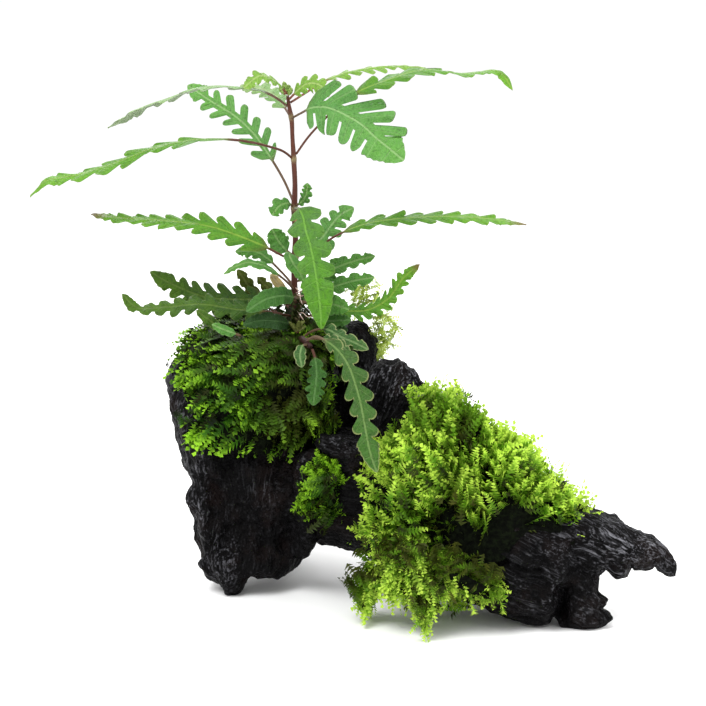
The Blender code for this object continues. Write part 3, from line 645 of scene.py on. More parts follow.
@dataclass(frozen=True)
class StemFinish:
    """Stem bark: dark at the foot, red-brown above, green-beige at the joints."""

    name: str
    low: Colour = (0.016, 0.006, 0.005)
    middle: Colour = (0.060, 0.015, 0.009)
    high: Colour = (0.095, 0.030, 0.018)
    joint: Colour = (0.24, 0.20, 0.10)
    patch: Colour = (0.42, 0.22, 0.11)
    patch_height: float = 148.0
    patch_reach: float = 6.0
    turn_height: tuple[float, float] = (112.0, 190.0)
    patch_side: tuple[float, float] = (-23.6, -22.2)
    joint_share: float = 0.7
    streak_scale: float = 1.6
    streak_depth: float = 0.12
    shine: float = 0.2

    def material(self) -> bpy.types.Material:
        """Build the bark's material."""
        graph = Graph(self.name)
        streak = graph.noise(graph.place((1.0, 1.0, 0.16)), self.streak_scale, 4.0)
        split = graph.node("SeparateXYZ", {0: graph.place()})
        height = split.outputs["Z"]
        low, high = self.turn_height
        colour = graph.mix(graph.step(height, low - 12, low + 8), self.low, self.middle)
        colour = graph.mix(graph.step(height, low + 20, high), colour, self.high)
        from_patch = graph.math("ABSOLUTE", graph.less(height, self.patch_height))
        patch = graph.times(graph.step(from_patch, 0.0, self.patch_reach, 1.0, 0.0),
                            graph.step(split.outputs["X"], *self.patch_side))
        colour = graph.mix(graph.times(patch, graph.step(streak, 0.3, 0.6)),
                           colour, self.patch)
        colour = graph.mix(graph.step(streak, 0.35, 0.75, 0.0, 0.45), colour, self.low)
        colour = graph.mix(graph.times(graph.mark("joint"), self.joint_share), colour,
                           self.joint)
        shader = graph.principled({
            "Base Color": colour, "Roughness": graph.step(streak, 0.3, 0.7, 0.36, 0.55),
            "Specular IOR Level": self.shine,
            "Normal": graph.bump(streak, self.streak_depth)})
        return graph.finish(shader)


@dataclass(frozen=True)
class MossFinish:
    """Moss shoots: dark at the base, bright and see-through at the tip."""

    name: str
    slot: str
    deep: Colour
    middle: Colour
    bright: Colour
    olive: Colour
    glow: float = 0.38
    flicker_scale: float = 0.22
    roughness: float = 0.45
    shine: float = 0.10

    def material(self) -> bpy.types.Material:
        """Build the moss material from its marks: tip, tone and age."""
        graph = Graph(self.name)
        flicker = graph.noise(graph.place(), self.flicker_scale, 2.0)
        # Dark bases and bright tips: the moss's own colour, plus painted shade and highlight.
        level = graph.times(graph.mark("tip"), graph.mark("tone"))
        level = graph.plus(level, graph.step(flicker, 0.3, 0.7, -0.08, 0.08))
        colour = graph.mix(graph.step(level, 0.05, 0.42), self.deep, self.middle)
        colour = graph.mix(graph.step(level, 0.40, 0.95), colour, self.bright)
        colour = graph.mix(graph.mark("age"), colour, self.olive)
        shader = graph.principled({"Base Color": colour, "Roughness": self.roughness,
                                   "Specular IOR Level": self.shine})
        through = graph.node("BsdfTranslucent", {"Color": colour}).outputs[0]
        both = graph.node("MixShader", {0: self.glow, 1: shader, 2: through}).outputs[0]
        return graph.finish(both)


@dataclass(frozen=True)
class MatFinish:
    """The dark tangle inside a cushion: partly old shoots, partly painted shade, near black."""

    name: str
    # Both colours are near black: the old shoots' colour, with painted shade.
    deep: Colour = (0.0014, 0.0018, 0.0010)
    worn_and_shaded: Colour = (0.0060, 0.0090, 0.0034)
    knot_scale: float = 0.55
    knot_depth: float = 1.5
    roughness: float = 0.85
    shine: float = 0.05

    def material(self) -> bpy.types.Material:
        """Build the tangle's material."""
        graph = Graph(self.name)
        knots = graph.noise(graph.place(), self.knot_scale, 5.0, 0.65)
        colour = graph.mix(graph.step(knots, 0.4, 0.7), self.deep, self.worn_and_shaded)
        shader = graph.principled({"Base Color": colour, "Roughness": self.roughness,
                                   "Specular IOR Level": self.shine,
                                   "Normal": graph.bump(knots, self.knot_depth)})
        return graph.finish(shader)


@dataclass(frozen=True)
class PlainFinish:
    """One colour with a slight mottle, for rootlets and the floor."""

    name: str
    colour: Colour
    other: Colour
    roughness: float = 0.6
    cells: float = 0.8

    def material(self) -> bpy.types.Material:
        """Build the material."""
        graph = Graph(self.name)
        mottle = graph.noise(graph.place(), self.cells, 3.0)
        colour = graph.mix(graph.step(mottle, 0.35, 0.7), self.colour, self.other)
        shader = graph.principled({"Base Color": colour, "Roughness": self.roughness})
        return graph.finish(shader)


# Driftwood

@dataclass(frozen=True)
class GrainLine:
    """A line that the fibres follow, the wood's radius round it, and their depth."""

    rows: tuple[tuple[float, float, float], ...]
    radius: float
    depth: float


@dataclass(frozen=True)
class Dent:
    """An oval place, seen from the front, where the wood is pushed by some millimetres.

    A steep dent has sharp walls, and a front one moves only faces that look forward.
    """

    across: float
    up: float
    wide: float
    high: float
    push: tuple[float, float, float]
    front: bool = False
    steep: float = 2.0

    def moved(self, points: Array, normals: Array) -> Array:
        """The points after the push, which fades out from the middle of the oval."""
        across, up = seen(points)
        away = (np.abs((across - self.across) / self.wide) ** self.steep
                + np.abs((up - self.up) / self.high) ** self.steep)
        share = np.exp(-away)
        if self.front:
            share = share * eased(0.0, 0.5, -normals[:, 1])
        return points + share[:, None] * np.array(self.push)


@dataclass(frozen=True)
class Glint:
    """An oval place, seen from the front, where pale fibres and grit are painted as highlight.
    """

    across: float
    up: float
    wide: float
    high: float
    light: float


@dataclass(frozen=True)
class Relief:
    """One kind of roughness: its height, its share in painted shade and highlight, and two
    cells.
    """

    height: float
    shade: float
    cells: tuple[float, float]


@dataclass
class Driftwood:
    """The whole piece of wood: one skin over all its limbs, with ridges along the grain.

    swell is how far the skin stands off the solids, ribs are round bulges along rows of
    (across, up, back, radius), and base_light is the painted highlight away from every
    glint. wave is the reach and the cell of the fibres' waves, squeeze stretches the
    ridges along the fibres, blend is how softly one fibre line gives way to the next,
    sunk lowers the skin, and the relief fades out below foot_height. The relief mark also
    paints shade into the hollows and highlight onto the crests.
    """

    nodes: tuple[str, ...] = (
        "driftwood_stump", "driftwood_trunk", "driftwood_peak", "driftwood_knob",
        "driftwood_arm", "driftwood_heel", "driftwood_back_root")
    voxel: float = 0.95
    swell: float = 0.2
    smoothing: int = 4
    seed: int = 11
    base_light: float = 0.07
    ridge: Relief = Relief(1.25, 0.65, (4.6, 2.1))
    lump: Relief = Relief(1.15, 0.35, (12.0, 7.0))
    grit: Relief = Relief(0.45, 0.30, (2.0, 3.4))
    wave: tuple[float, float] = (1.6, 9.0)
    squeeze: float = 0.10
    blend: float = 3.0
    sunk: float = 0.4
    foot_height: float = 4.0
    rib_rows: int = 24
    rib_sides: int = 14
    ribs: tuple[tuple[tuple[float, float, float, float], ...], ...] = (
        ((-64, 76, -8, 6.0), (-61.5, 66, -11, 6.5), (-60.5, 50, -15, 6.0),
         (-61.5, 40, -15, 5.5), (-58.5, 28, -15, 5.0), (-55.5, 14, -15, 3.0),
         (-52.5, 4, -15, 2.0)),
        ((-64.5, 84, -6, 6.5), (-62, 93, -4, 7.0), (-56, 98, -2, 6.5)),
        ((-60, 14, -12, 3.0), (-54, 7, -13, 3.5), (-48, 4.5, -13, 3.2), (-42, 8, -13, 3.0)),
        ((-56.5, 24, -17, 1.6), (-55.0, 14, -18, 2.2), (-52.5, 5, -17, 2.0)),
        ((-53.0, 26, -17, 1.6), (-51.5, 15, -19, 2.2), (-49.5, 3, -18, 2.0)),
        ((-49.5, 24, -18, 1.4), (-48.2, 13, -19, 2.0), (-46.5, 2, -18, 1.8)),
        ((-19, 56, -19, 5.0), (-16.5, 44, -21, 6.0), (-17, 32, -20, 5.5), (-19, 22, -19, 5.0),
         (-23, 14, -17, 3.5)),
        ((-14, 62, -22, 3.0), (-5, 56, -25, 4.0), (2, 50, -27, 4.0)),
        ((84, 4, -57, 2.2), (87.5, -3, -58, 2.6), (92, -10, -58, 2.2)),
        ((89, 4, -57, 2.0), (93.0, -3, -58, 2.4), (96.5, -10, -57, 2.0)),
        ((76, 22, -58, 4.0), (84, 24, -58, 4.5), (94, 24, -56, 4.0), (104, 22, -54, 3.5),
         (116, 16.5, -51, 2.5)),
    )
    dents: tuple[Dent, ...] = (
        Dent(-38.0, 36.0, 17.5, 22.0, (0.0, 6.0, 0.0), True, 8.0),
        Dent(-4.0, 73.0, 7.0, 10.0, (0.0, 9.0, 0.0), True, 4.0),
        Dent(84.0, -4.0, 3.2, 7.0, (0.0, 9.0, 0.0), True, 4.0),
        Dent(48.0, 14.0, 6.0, 8.0, (0.0, 8.0, 0.0), True, 4.0),
        Dent(-76.0, 79.0, 9.0, 6.0, (3.8, 0.0, 0.0)),
        Dent(-66.0, 44.0, 6.0, 3.6, (2.8, 0.0, 0.0)),
        Dent(-65.0, 30.0, 6.0, 4.5, (2.4, 0.0, 0.0)),
        Dent(-58.0, 1.0, 5.0, 5.0, (5.0, 0.0, 1.2)),
        Dent(-40.0, 0.0, 3.0, 6.0, (-3.0, 0.0, 3.4)),
        Dent(111.0, 11.0, 1.3, 5.0, (0.0, 0.0, 4.8), steep=2.6),
        Dent(120.6, 10.0, 1.2, 4.0, (0.0, 0.0, 3.4), steep=2.6),
        Dent(118.0, 28.0, 13.0, 6.0, (0.0, 0.0, -2.6)),
        Dent(118.0, 7.0, 7.0, 5.0, (0.0, 0.0, 2.4)),
        Dent(100.9, 8.0, 3.6, 4.0, (0.0, 0.0, 2.4)),
        Dent(101.2, -2.4, 4.0, 1.7, (2.2, 0.0, 0.0)),
        Dent(102.4, -6.4, 4.0, 1.2, (-1.8, 0.0, 0.0)),
        Dent(103.6, -10.4, 4.0, 1.6, (1.6, 0.0, 0.0)),
        Dent(80.6, -11.0, 1.6, 4.0, (0.0, 0.0, 3.6)),
    )
    # Places where the wood's fibres and grit are painted as highlight, with its strength.
    glints: tuple[Glint, ...] = (
        Glint(-68.0, 50.0, 11.0, 60.0, 0.75), Glint(-54.0, 12.0, 8.0, 14.0, 0.60),
        Glint(-35.0, 40.0, 7.0, 7.0, 0.30), Glint(-20.0, 44.0, 3.0, 14.0, 0.45),
        Glint(-5.0, 60.0, 9.0, 5.0, 0.55), Glint(20.0, 82.0, 18.0, 14.0, 0.85),
        Glint(0.0, 100.0, 10.0, 12.0, 0.05), Glint(112.0, 20.0, 22.0, 16.0, 1.0),
        Glint(92.0, 28.0, 10.0, 8.0, 0.7), Glint(72.0, 2.0, 12.0, 10.0, 0.75),
        Glint(80.0, 18.0, 16.0, 9.0, 0.5), Glint(94.0, -6.0, 8.0, 8.0, 0.5),
    )
    lines: tuple[GrainLine, ...] = (
        GrainLine(((-46, -4, -10), (-42, 30, 0), (-41, 60, 6), (-40, 100, 8)), 28.0, 0.9),
        GrainLine(((-34, 46, 6), (4, 40, -7), (36, 35, -26), (66, 20, -42), (92, 8, -48)),
                  26.0, 1.0),
        GrainLine(((14, 50, -9), (17, 74, -5), (24, 94, -2)), 14.0, 1.5),
        GrainLine(((-4, 50, 10), (-3, 84, 26), (0, 110, 34)), 12.0, 0.7),
        GrainLine(((70, 32, -46), (90, 26, -46), (110, 19, -46), (130, 9, -46)), 11.0, 1.2),
        GrainLine(((92, -15, -51), (88, 3, -49), (82, 22, -46)), 9.0, 1.4),
        GrainLine(((-37, 10, 48), (-36, 27, 41), (-32, 54, 21)), 9.0, 0.9),
    )

    def build(self) -> bpy.types.Object:
        """Join the limbs into one skin and carve it."""
        points, triangles = node_surface(self.nodes)
        points = points + self.swell * point_normals(points, triangles)
        parts = [(points, triangles, {})]
        for rib in self.ribs:
            rows = np.array(rib)
            path = smooth_rows(np.column_stack((placed(rows[:, :3]), rows[:, 3])),
                               self.rib_rows)
            parts.append((tube_points(path[:, :3], path[:, 3], self.rib_sides),
                          tube_triangles(self.rib_rows, self.rib_sides), {}))
        points, triangles, _ = merged(parts)
        points, triangles = remeshed("driftwood_skin", points, triangles, self.voxel)
        points = relaxed(points, triangles, self.smoothing)
        for dent in self.dents:
            points = dent.moved(points, point_normals(points, triangles))
        points, relief, grain = self.carved(points, point_normals(points, triangles))
        points = inside_box(points)
        # relief and lit carry the wood's painted shade and painted highlight.
        marks = {"relief": relief, "grain": grain, "lit": self.lit(points)}
        made = add_mesh("driftwood", points, triangles, marks)
        return fitted(made, "black_wood", *self.nodes)

    def lit(self, points: Array) -> Array:
        """How much painted highlight, as pale fibres and grit, shows at each point, 0 to 1."""
        across, up = seen(points)
        light = np.full(len(points), self.base_light)
        for glint in self.glints:
            away = (((across - glint.across) / glint.wide) ** 2
                    + ((up - glint.up) / glint.high) ** 2)
            light = np.maximum(light, glint.light * np.exp(-(away**2)))
        return light

    def along_grain(self, points: Array, line: GrainLine) -> tuple[Array, Array]:
        """Place each point by a fibre line.

        Args:
            points: rows of x, y, z.
            line: the fibre line.

        Returns:
            How far each point is outside the line's radius, and rows of (distance along
            the line, two distances across it).
        """
        path = smooth_rows(placed(line.rows), 40)
        ahead = unit(np.gradient(path, axis=0))
        gaps = np.linalg.norm(points[:, None, :] - path[None, :, :], axis=2)
        near = gaps.argmin(axis=1)
        away = points - path[near]
        on = np.einsum("ij,ij->i", away, ahead[near])
        step = path_length(path) / (len(path) - 1)
        side = unit(np.cross(ahead, (0.0, 1.0, 0.0)))
        other = np.cross(ahead, side)
        across = np.column_stack((near * step + on,
                                  np.einsum("ij,ij->i", away, side[near]),
                                  np.einsum("ij,ij->i", away, other[near])))
        return gaps.min(axis=1) - line.radius, across

    def carved(self, points: Array, normals: Array) -> tuple[Array, Array, Array]:
        """Cut ridges along the grain, lumps and grit into the skin.

        A point moves along its normal by a sum of ridged random fields. The fields of
        the fibres are stretched along each line, and weighted by how near the line is.

        Args:
            points: rows of x, y, z.
            normals: outward direction at each.

        Returns:
            The moved points, the relief in -1..1 and the grain coordinates.
        """
        coarse, fine = Lattice(self.seed), Lattice(self.seed + 1)
        (wave, wave_cell), (long_cell, short_cell) = self.wave, self.ridge.cells
        weights, depths, grains = [], [], []
        for line in self.lines:
            gap, across = self.along_grain(points, line)
            wavy = across + wave * np.column_stack((0 * gap, coarse.at(points, wave_cell),
                                                    coarse.at(points + 50.0, wave_cell)))
            grain = wavy * (self.squeeze, 1.0, 1.0)
            ridge = (0.6 * coarse.ridges(grain + 7.0, long_cell)
                     + 0.4 * fine.ridges(grain, short_cell))
            weights.append(np.exp(-np.clip(gap, -60, 60) / self.blend))
            depths.append(line.depth * ridge)
            grains.append(wavy)
        weights = np.array(weights) / np.sum(weights, axis=0)
        ridge = (weights * np.array(depths)).sum(axis=0)
        grain = np.array(grains)[weights.argmax(axis=0), np.arange(len(points))]
        wide, narrow = self.lump.cells
        lump = coarse.at(points, wide) + 0.7 * fine.ridges(points, narrow)
        small, large = self.grit.cells
        grit = fine.at(points, small) + 0.6 * coarse.at(points, large)
        move = (self.ridge.height * ridge + self.lump.height * lump
                + self.grit.height * grit - self.sunk)
        foot = eased(0.0, self.foot_height, points[:, 2])
        relief = np.clip(self.ridge.shade * ridge + self.grit.shade * grit
                         + self.lump.shade * lump, -1, 1)
        return points + normals * (move * foot)[:, None], relief, grain

    def dress(self, made: bpy.types.Object) -> None:
        """Give the wood its finish."""
        made.data.materials.append(WoodFinish().material())


# Stems

@dataclass
class Stem:
    """A stem along rows of (across, up, back, radius), swollen at each pair of leaves.

    joints are the swellings' heights as seen, joint_reach is half their height, and
    roughness is how far the bark stands out, as a share of the radius.
    """

    name: str
    rows: tuple[tuple[float, float, float, float], ...]
    finish: StemFinish
    joints: tuple[float, ...] = ()
    joint_reach: float = 1.1
    swelling: float = 0.22
    roughness: float = 0.07
    sides: int = 20
    stations: int = 150

    def build(self) -> bpy.types.Object:
        """Carry a round profile along the stem's path and swell it at its joints."""
        rows = np.array(self.rows, float)
        path = np.column_stack((placed(rows[:, :3]), rows[:, 3]))
        path = smooth_rows(path, self.stations)
        ring = np.zeros(self.stations)
        for height in self.joints:
            middle = placed([(rows[0, 0], height, rows[0, 2])])[0, 2]
            ring = np.maximum(ring, np.exp(-((path[:, 2] - middle) / self.joint_reach) ** 2))
        radii = path[:, 3] * (1 + self.swelling * ring)
        points = tube_points(path[:, :3], radii, self.sides)
        wave = Lattice(5).at(points * (1.0, 1.0, 0.12), 0.9)
        out = points - np.vstack((np.repeat(path[:, :3], self.sides, axis=0),
                                  path[:1, :3], path[-1:, :3]))
        points = points + self.roughness * wave[:, None] * out
        joint = np.concatenate((np.repeat(ring, self.sides), ring[:1], ring[-1:]))
        triangles = outward(points, tube_triangles(self.stations, self.sides))
        made = add_mesh(self.name + "_bark", points, triangles, {"joint": joint})
        return fitted(made, "stem", self.name)

    def dress(self, made: bpy.types.Object) -> None:
        """Give the stem its bark."""
        made.data.materials.append(self.finish.material())


STEMS = (
    Stem("main_stem",
         ((-24.0, 96.0, 4, 1.7), (-23.4, 104.0, 4, 1.5), (-23.0, 110.6, 4, 1.4),
          (-23.2, 118.0, 4, 1.5), (-23.4, 123.0, 4, 1.3), (-23.2, 134.5, 4, 1.35),
          (-23.0, 141.0, 4, 1.15), (-23.5, 153.8, 4, 1.2), (-23.2, 163.0, 4, 1.0),
          (-23.7, 173.4, 4, 1.05), (-24.2, 182.0, 4, 0.85), (-24.7, 190.4, 4, 0.9),
          (-25.5, 194.4, 4, 0.8), (-26.2, 198.8, 4, 0.6)),
         StemFinish("stem_bark"), (110.0, 118.0, 134.5, 154.0, 173.6, 190.4)),
    Stem("creeping_stem",
         ((-22.5, 100.5, 1.4, 1.0), (-21.5, 101.4, -6.0, 1.2), (-20.4, 101.6, -14.0, 1.3),
          (-19.4, 100.8, -22.0, 1.2), (-17.0, 98.6, -27.0, 1.0)),
         StemFinish("old_bark"), stations=60),
)


def outward(points: Array, triangles: Array) -> Array:
    """Triangles of a closed shell, turned over if their volume comes out negative."""
    corners = points[triangles]
    volume = np.einsum("ij,ij->", corners[:, 0], np.cross(corners[:, 1], corners[:, 2]))
    return triangles if volume > 0 else triangles[:, ::-1]


@dataclass
class Rootlets:
    """Fine pale roots that grow out of the stem's lower joints."""

    paths: tuple[tuple[tuple[float, float, float], ...], ...] = (
        ((-22.6, 120.0, 2.6), (-20.4, 121.0, -1.0), (-19.0, 123.4, -3.0), (-17.6, 126.0, -4.0)),
        ((-22.4, 119.4, 2.4), (-20.2, 118.8, -2.0), (-18.4, 120.4, -4.4), (-16.8, 121.8, -5.2)),
        ((-22.6, 112.8, 2.4), (-21.2, 111.2, -2.6), (-19.6, 109.0, -4.4), (-17.9, 107.2, -5.0)),
        ((-22.2, 111.6, 2.6), (-20.0, 112.0, -2.0), (-18.0, 110.4, -4.0), (-16.0, 110.8, -5.0)),
        ((-22.8, 122.0, 2.6), (-21.4, 120.4, -1.4), (-21.0, 117.6, -3.4), (-20.2, 115.4, -4.4)),
        ((-22.4, 100.8, -9.0), (-21.0, 98.4, -12.0), (-20.4, 96.2, -12.6),
         (-20.9, 94.0, -13.0)),
    )
    radius: float = 0.24
    stations: int = 18
    sides: int = 7

    def build(self) -> bpy.types.Object:
        """Carry a tapering round profile along each root."""
        walls = tube_triangles(self.stations, self.sides)
        parts = []
        for rows in self.paths:
            path = smooth_rows(placed(rows), self.stations)
            radii = self.radius * np.linspace(1.1, 0.45, len(path))
            points = tube_points(path, radii, self.sides)
            parts.append((points, outward(points, walls), {}))
        points, triangles, _ = merged(parts)
        return fitted(add_mesh("rootlets", points, triangles), "stem")

    def dress(self, made: bpy.types.Object) -> None:
        """Give the roots their pale finish."""
        finish = PlainFinish("pale_root", (0.62, 0.50, 0.42), (0.42, 0.26, 0.20), 0.5)
        made.data.materials.append(finish.material())


# Leaves

class LeafTone(Enum):
    """The kinds of leaf by colour."""

    LIME = "leaf_lime"
    PALE = "leaf_pale"
    BRIGHT = "leaf_bright"
    SPRING = "leaf_spring"
    MID = "leaf_mid"
    FRESH = "leaf_fresh"
    MOSSY = "leaf_mossy"
    DARK = "leaf_dark"
    # Painted shade: the dark leaf darkened for the leaves low at the stem's foot.
    SHADED = "leaf_shaded"
    FROSTED = "leaf_frosted"
    EDGED = "leaf_edged"
    OLIVE = "leaf_olive"
    DRY = "leaf_dry"


LEAF_FINISHES = {
    LeafTone.LIME: LeafFinish(
        "leaf_lime", "leaf_lime", (0.14, 0.30, 0.030), (0.19, 0.37, 0.05), (0.32, 0.44, 0.14),
        (0.33, 0.40, 0.12), (0.16, 0.055, 0.030), (0.20, 0.33, 0.10)),
    LeafTone.PALE: LeafFinish(
        "leaf_pale", "leaf_lime", (0.15, 0.30, 0.10), (0.24, 0.38, 0.13), (0.34, 0.44, 0.22),
        (0.30, 0.38, 0.18), (0.13, 0.075, 0.050), (0.26, 0.34, 0.20)),
    LeafTone.BRIGHT: LeafFinish(
        "leaf_bright", "leaf_bright", (0.060, 0.20, 0.020), (0.13, 0.33, 0.022),
        (0.22, 0.36, 0.05), (0.20, 0.36, 0.04), (0.085, 0.030, 0.018), (0.17, 0.31, 0.04)),
    LeafTone.SPRING: LeafFinish(
        "leaf_spring", "leaf_bright", (0.066, 0.165, 0.036), (0.080, 0.25, 0.008),
        (0.16, 0.36, 0.05), (0.20, 0.33, 0.07), (0.16, 0.17, 0.12), (0.14, 0.27, 0.07)),
    LeafTone.MID: LeafFinish(
        "leaf_mid", "leaf_mid", (0.055, 0.175, 0.030), (0.075, 0.235, 0.028),
        (0.18, 0.32, 0.10), (0.17, 0.31, 0.09), (0.10, 0.060, 0.035), (0.14, 0.27, 0.11)),
    LeafTone.FRESH: LeafFinish(
        "leaf_fresh", "leaf_mid", (0.080, 0.235, 0.052), (0.112, 0.31, 0.050),
        (0.25, 0.42, 0.16), (0.24, 0.40, 0.14), (0.10, 0.060, 0.035), (0.18, 0.33, 0.14)),
    LeafTone.MOSSY: LeafFinish(
        "leaf_mossy", "leaf_dark", (0.022, 0.065, 0.008), (0.070, 0.155, 0.010),
        (0.10, 0.17, 0.03), (0.13, 0.18, 0.04), (0.070, 0.030, 0.018), (0.09, 0.15, 0.05)),
    LeafTone.DARK: LeafFinish(
        "leaf_dark", "leaf_dark", (0.026, 0.095, 0.014), (0.045, 0.140, 0.018),
        (0.10, 0.21, 0.06), (0.12, 0.23, 0.08), (0.07, 0.028, 0.018), (0.08, 0.17, 0.06)),
    # A darker copy of the dark leaf, for leaves low at the stem's foot: painted shade.
    LeafTone.SHADED: LeafFinish(
        "leaf_shaded", "leaf_dark", (0.010, 0.036, 0.006), (0.016, 0.055, 0.008),
        (0.035, 0.085, 0.022), (0.04, 0.09, 0.03), (0.04, 0.016, 0.010), (0.03, 0.07, 0.02)),
    LeafTone.FROSTED: LeafFinish(
        "leaf_frosted", "leaf_bright", (0.032, 0.085, 0.016), (0.040, 0.125, 0.014),
        (0.15, 0.25, 0.07), (0.42, 0.42, 0.17), (0.11, 0.075, 0.045), (0.12, 0.20, 0.08),
        margin_share=0.55),
    LeafTone.EDGED: LeafFinish(
        "leaf_edged", "leaf_mid", (0.022, 0.075, 0.016), (0.042, 0.12, 0.022),
        (0.17, 0.27, 0.10), (0.46, 0.48, 0.22), (0.11, 0.070, 0.040), (0.12, 0.22, 0.09),
        margin_share=0.6),
    LeafTone.OLIVE: LeafFinish(
        "leaf_olive", "leaf_olive", (0.060, 0.090, 0.010), (0.090, 0.12, 0.012),
        (0.16, 0.18, 0.05), (0.15, 0.16, 0.04), (0.09, 0.035, 0.02), (0.11, 0.14, 0.04)),
    LeafTone.DRY: LeafFinish(
        "leaf_dry", "leaf_dry", (0.40, 0.29, 0.12), (0.50, 0.39, 0.16), (0.56, 0.46, 0.26),
        (0.48, 0.38, 0.16), (0.18, 0.08, 0.04), (0.40, 0.30, 0.15), gloss=0.6),
}


@dataclass(frozen=True)
class LeafPlan:
    """A leaf with its stalk, along rows of (across, up, back) from base to tip.

    roll is how far the upper face turns from the sky (0) to the viewer (90), at even
    steps from the base to the tip. stalk is the share of the length without a blade,
    notch is how deep the gaps between lobes are, droop lowers the edges, and lean is
    how far a lobe's tip is ahead of its foot, as a share of its length. last is the
    share of the blade that the end lobe takes, gap is the share of a lobe's room that
    the gap takes, skew moves the widest place towards the base when it is small, and
    twist makes the right lobes lean more than the left ones.
    """

    name: str
    path: tuple
    width: float
    roll: tuple
    lobes: int
    notch: float
    stalk: float
    droop: float
    tone: LeafTone
    lean: float = 0.6
    tip_brown: float = 0.0
    last: float = 0.26
    gap: float = 0.22
    skew: float = 0.85
    twist: float = 0.0


TOP_LEAVES = (
    LeafPlan("leaf_top_left_far", ((-25.6, 194.2, 4), (-31, 198.2, 0), (-36, 200.6, -3),
             (-45, 202.2, -6), (-61, 202.2, -8), (-73, 198.2, -8), (-85, 193.8, -6),
             (-98, 186, -4)), 11, (0, -4, -9, -9), 6, 0.6, 0.14, 0.28, LeafTone.PALE, 1.2),
    LeafPlan("leaf_crown_left", ((-26.2, 199.4, 3), (-31, 204.6, -3), (-37.4, 206.6, -8),
             (-43.8, 201.8, -10)), 8, (30, 45), 4, 0.6, 0.12, 0.2, LeafTone.LIME),
    LeafPlan("leaf_back_left_lobed", ((-23.6, 155.8, 5), (-27.6, 165, 12), (-31, 171, 15),
             (-34.6, 176.6, 17), (-39.5, 183.4, 19), (-46.3, 190, 21), (-56.6, 196.6, 22),
             (-66.2, 203, 22)), 14, (70, 62), 6, 0.84, 0.30, 0.06, LeafTone.FRESH, 0.8,
             last=0.2, gap=0.40, skew=0.7),
    LeafPlan("leaf_long_left", ((-23.7, 173.4, 4), (-27.8, 176.6, 1), (-33, 178.4, -2),
             (-43.8, 180.8, -7), (-60, 181.4, -12), (-77, 178.6, -16), (-97.5, 171, -18),
             (-110.7, 167, -18), (-123.4, 164.2, -17), (-129.2, 158.4, -16)),
             13, (0, 3, 14, 16, 12), 6, 0.68, 0.26, 0.10, LeafTone.BRIGHT, 1.5, gap=0.10),
    LeafPlan("leaf_top_right_back", ((-25.6, 195.8, 4), (-19, 200, 9), (-12.4, 204.2, 13),
             (-0.3, 208.7, 18), (7.2, 210.0, 21), (17.6, 210.8, 24), (28.9, 210.0, 26)),
             10, (12, 10, 2), 6, 0.75, 0.30, 0.3, LeafTone.LIME, 0.7),
    LeafPlan("leaf_long_right", ((-23.7, 174.2, 4), (-17.4, 183, 4), (-13, 187.8, 4),
             (-7, 193.8, 3), (3, 200.8, 3), (11.4, 204.2, 3), (27.9, 209.0, 2),
             (45.1, 207.7, 0), (58.9, 208, -3), (63.7, 201.2, -5)),
             13, (34, 32, 20, -2, 20), 6, 0.62, 0.33, 0.14, LeafTone.BRIGHT, 1.2,
             gap=0.10, skew=0.6),
    LeafPlan("leaf_crown_right", ((-26.0, 197.0, 4), (-22, 201, 1), (-18.4, 203.6, -1),
             (-13.5, 203.2, -3), (-9.6, 198.4, -4)), 9, (50, 60), 4, 0.65, 0.15, 0.2,
             LeafTone.LIME, 0.5),
    LeafPlan("leaf_big_right_front", ((-24.7, 189.8, 4), (-20.3, 192.2, -4),
             (-16.9, 193.9, -9), (-11.4, 194.3, -13), (-3.1, 191.2, -17), (3.8, 187, -20),
             (9.3, 181.9, -22), (14.1, 178.1, -23), (20.3, 172.9, -24)),
             22, (62, 70), 5, 0.78, 0.2, 0.06, LeafTone.FRESH, 0.8,
             last=0.3, gap=0.18, skew=0.7, twist=-0.5),
    LeafPlan("leaf_pale_left_back", ((-24.7, 190.0, 4), (-27.6, 194.6, 12),
             (-30.6, 198.4, 18), (-35, 201, 23), (-45, 203, 29)), 10, (45, 35), 4, 0.6,
             0.2, 0.15, LeafTone.PALE, 0.7),
)
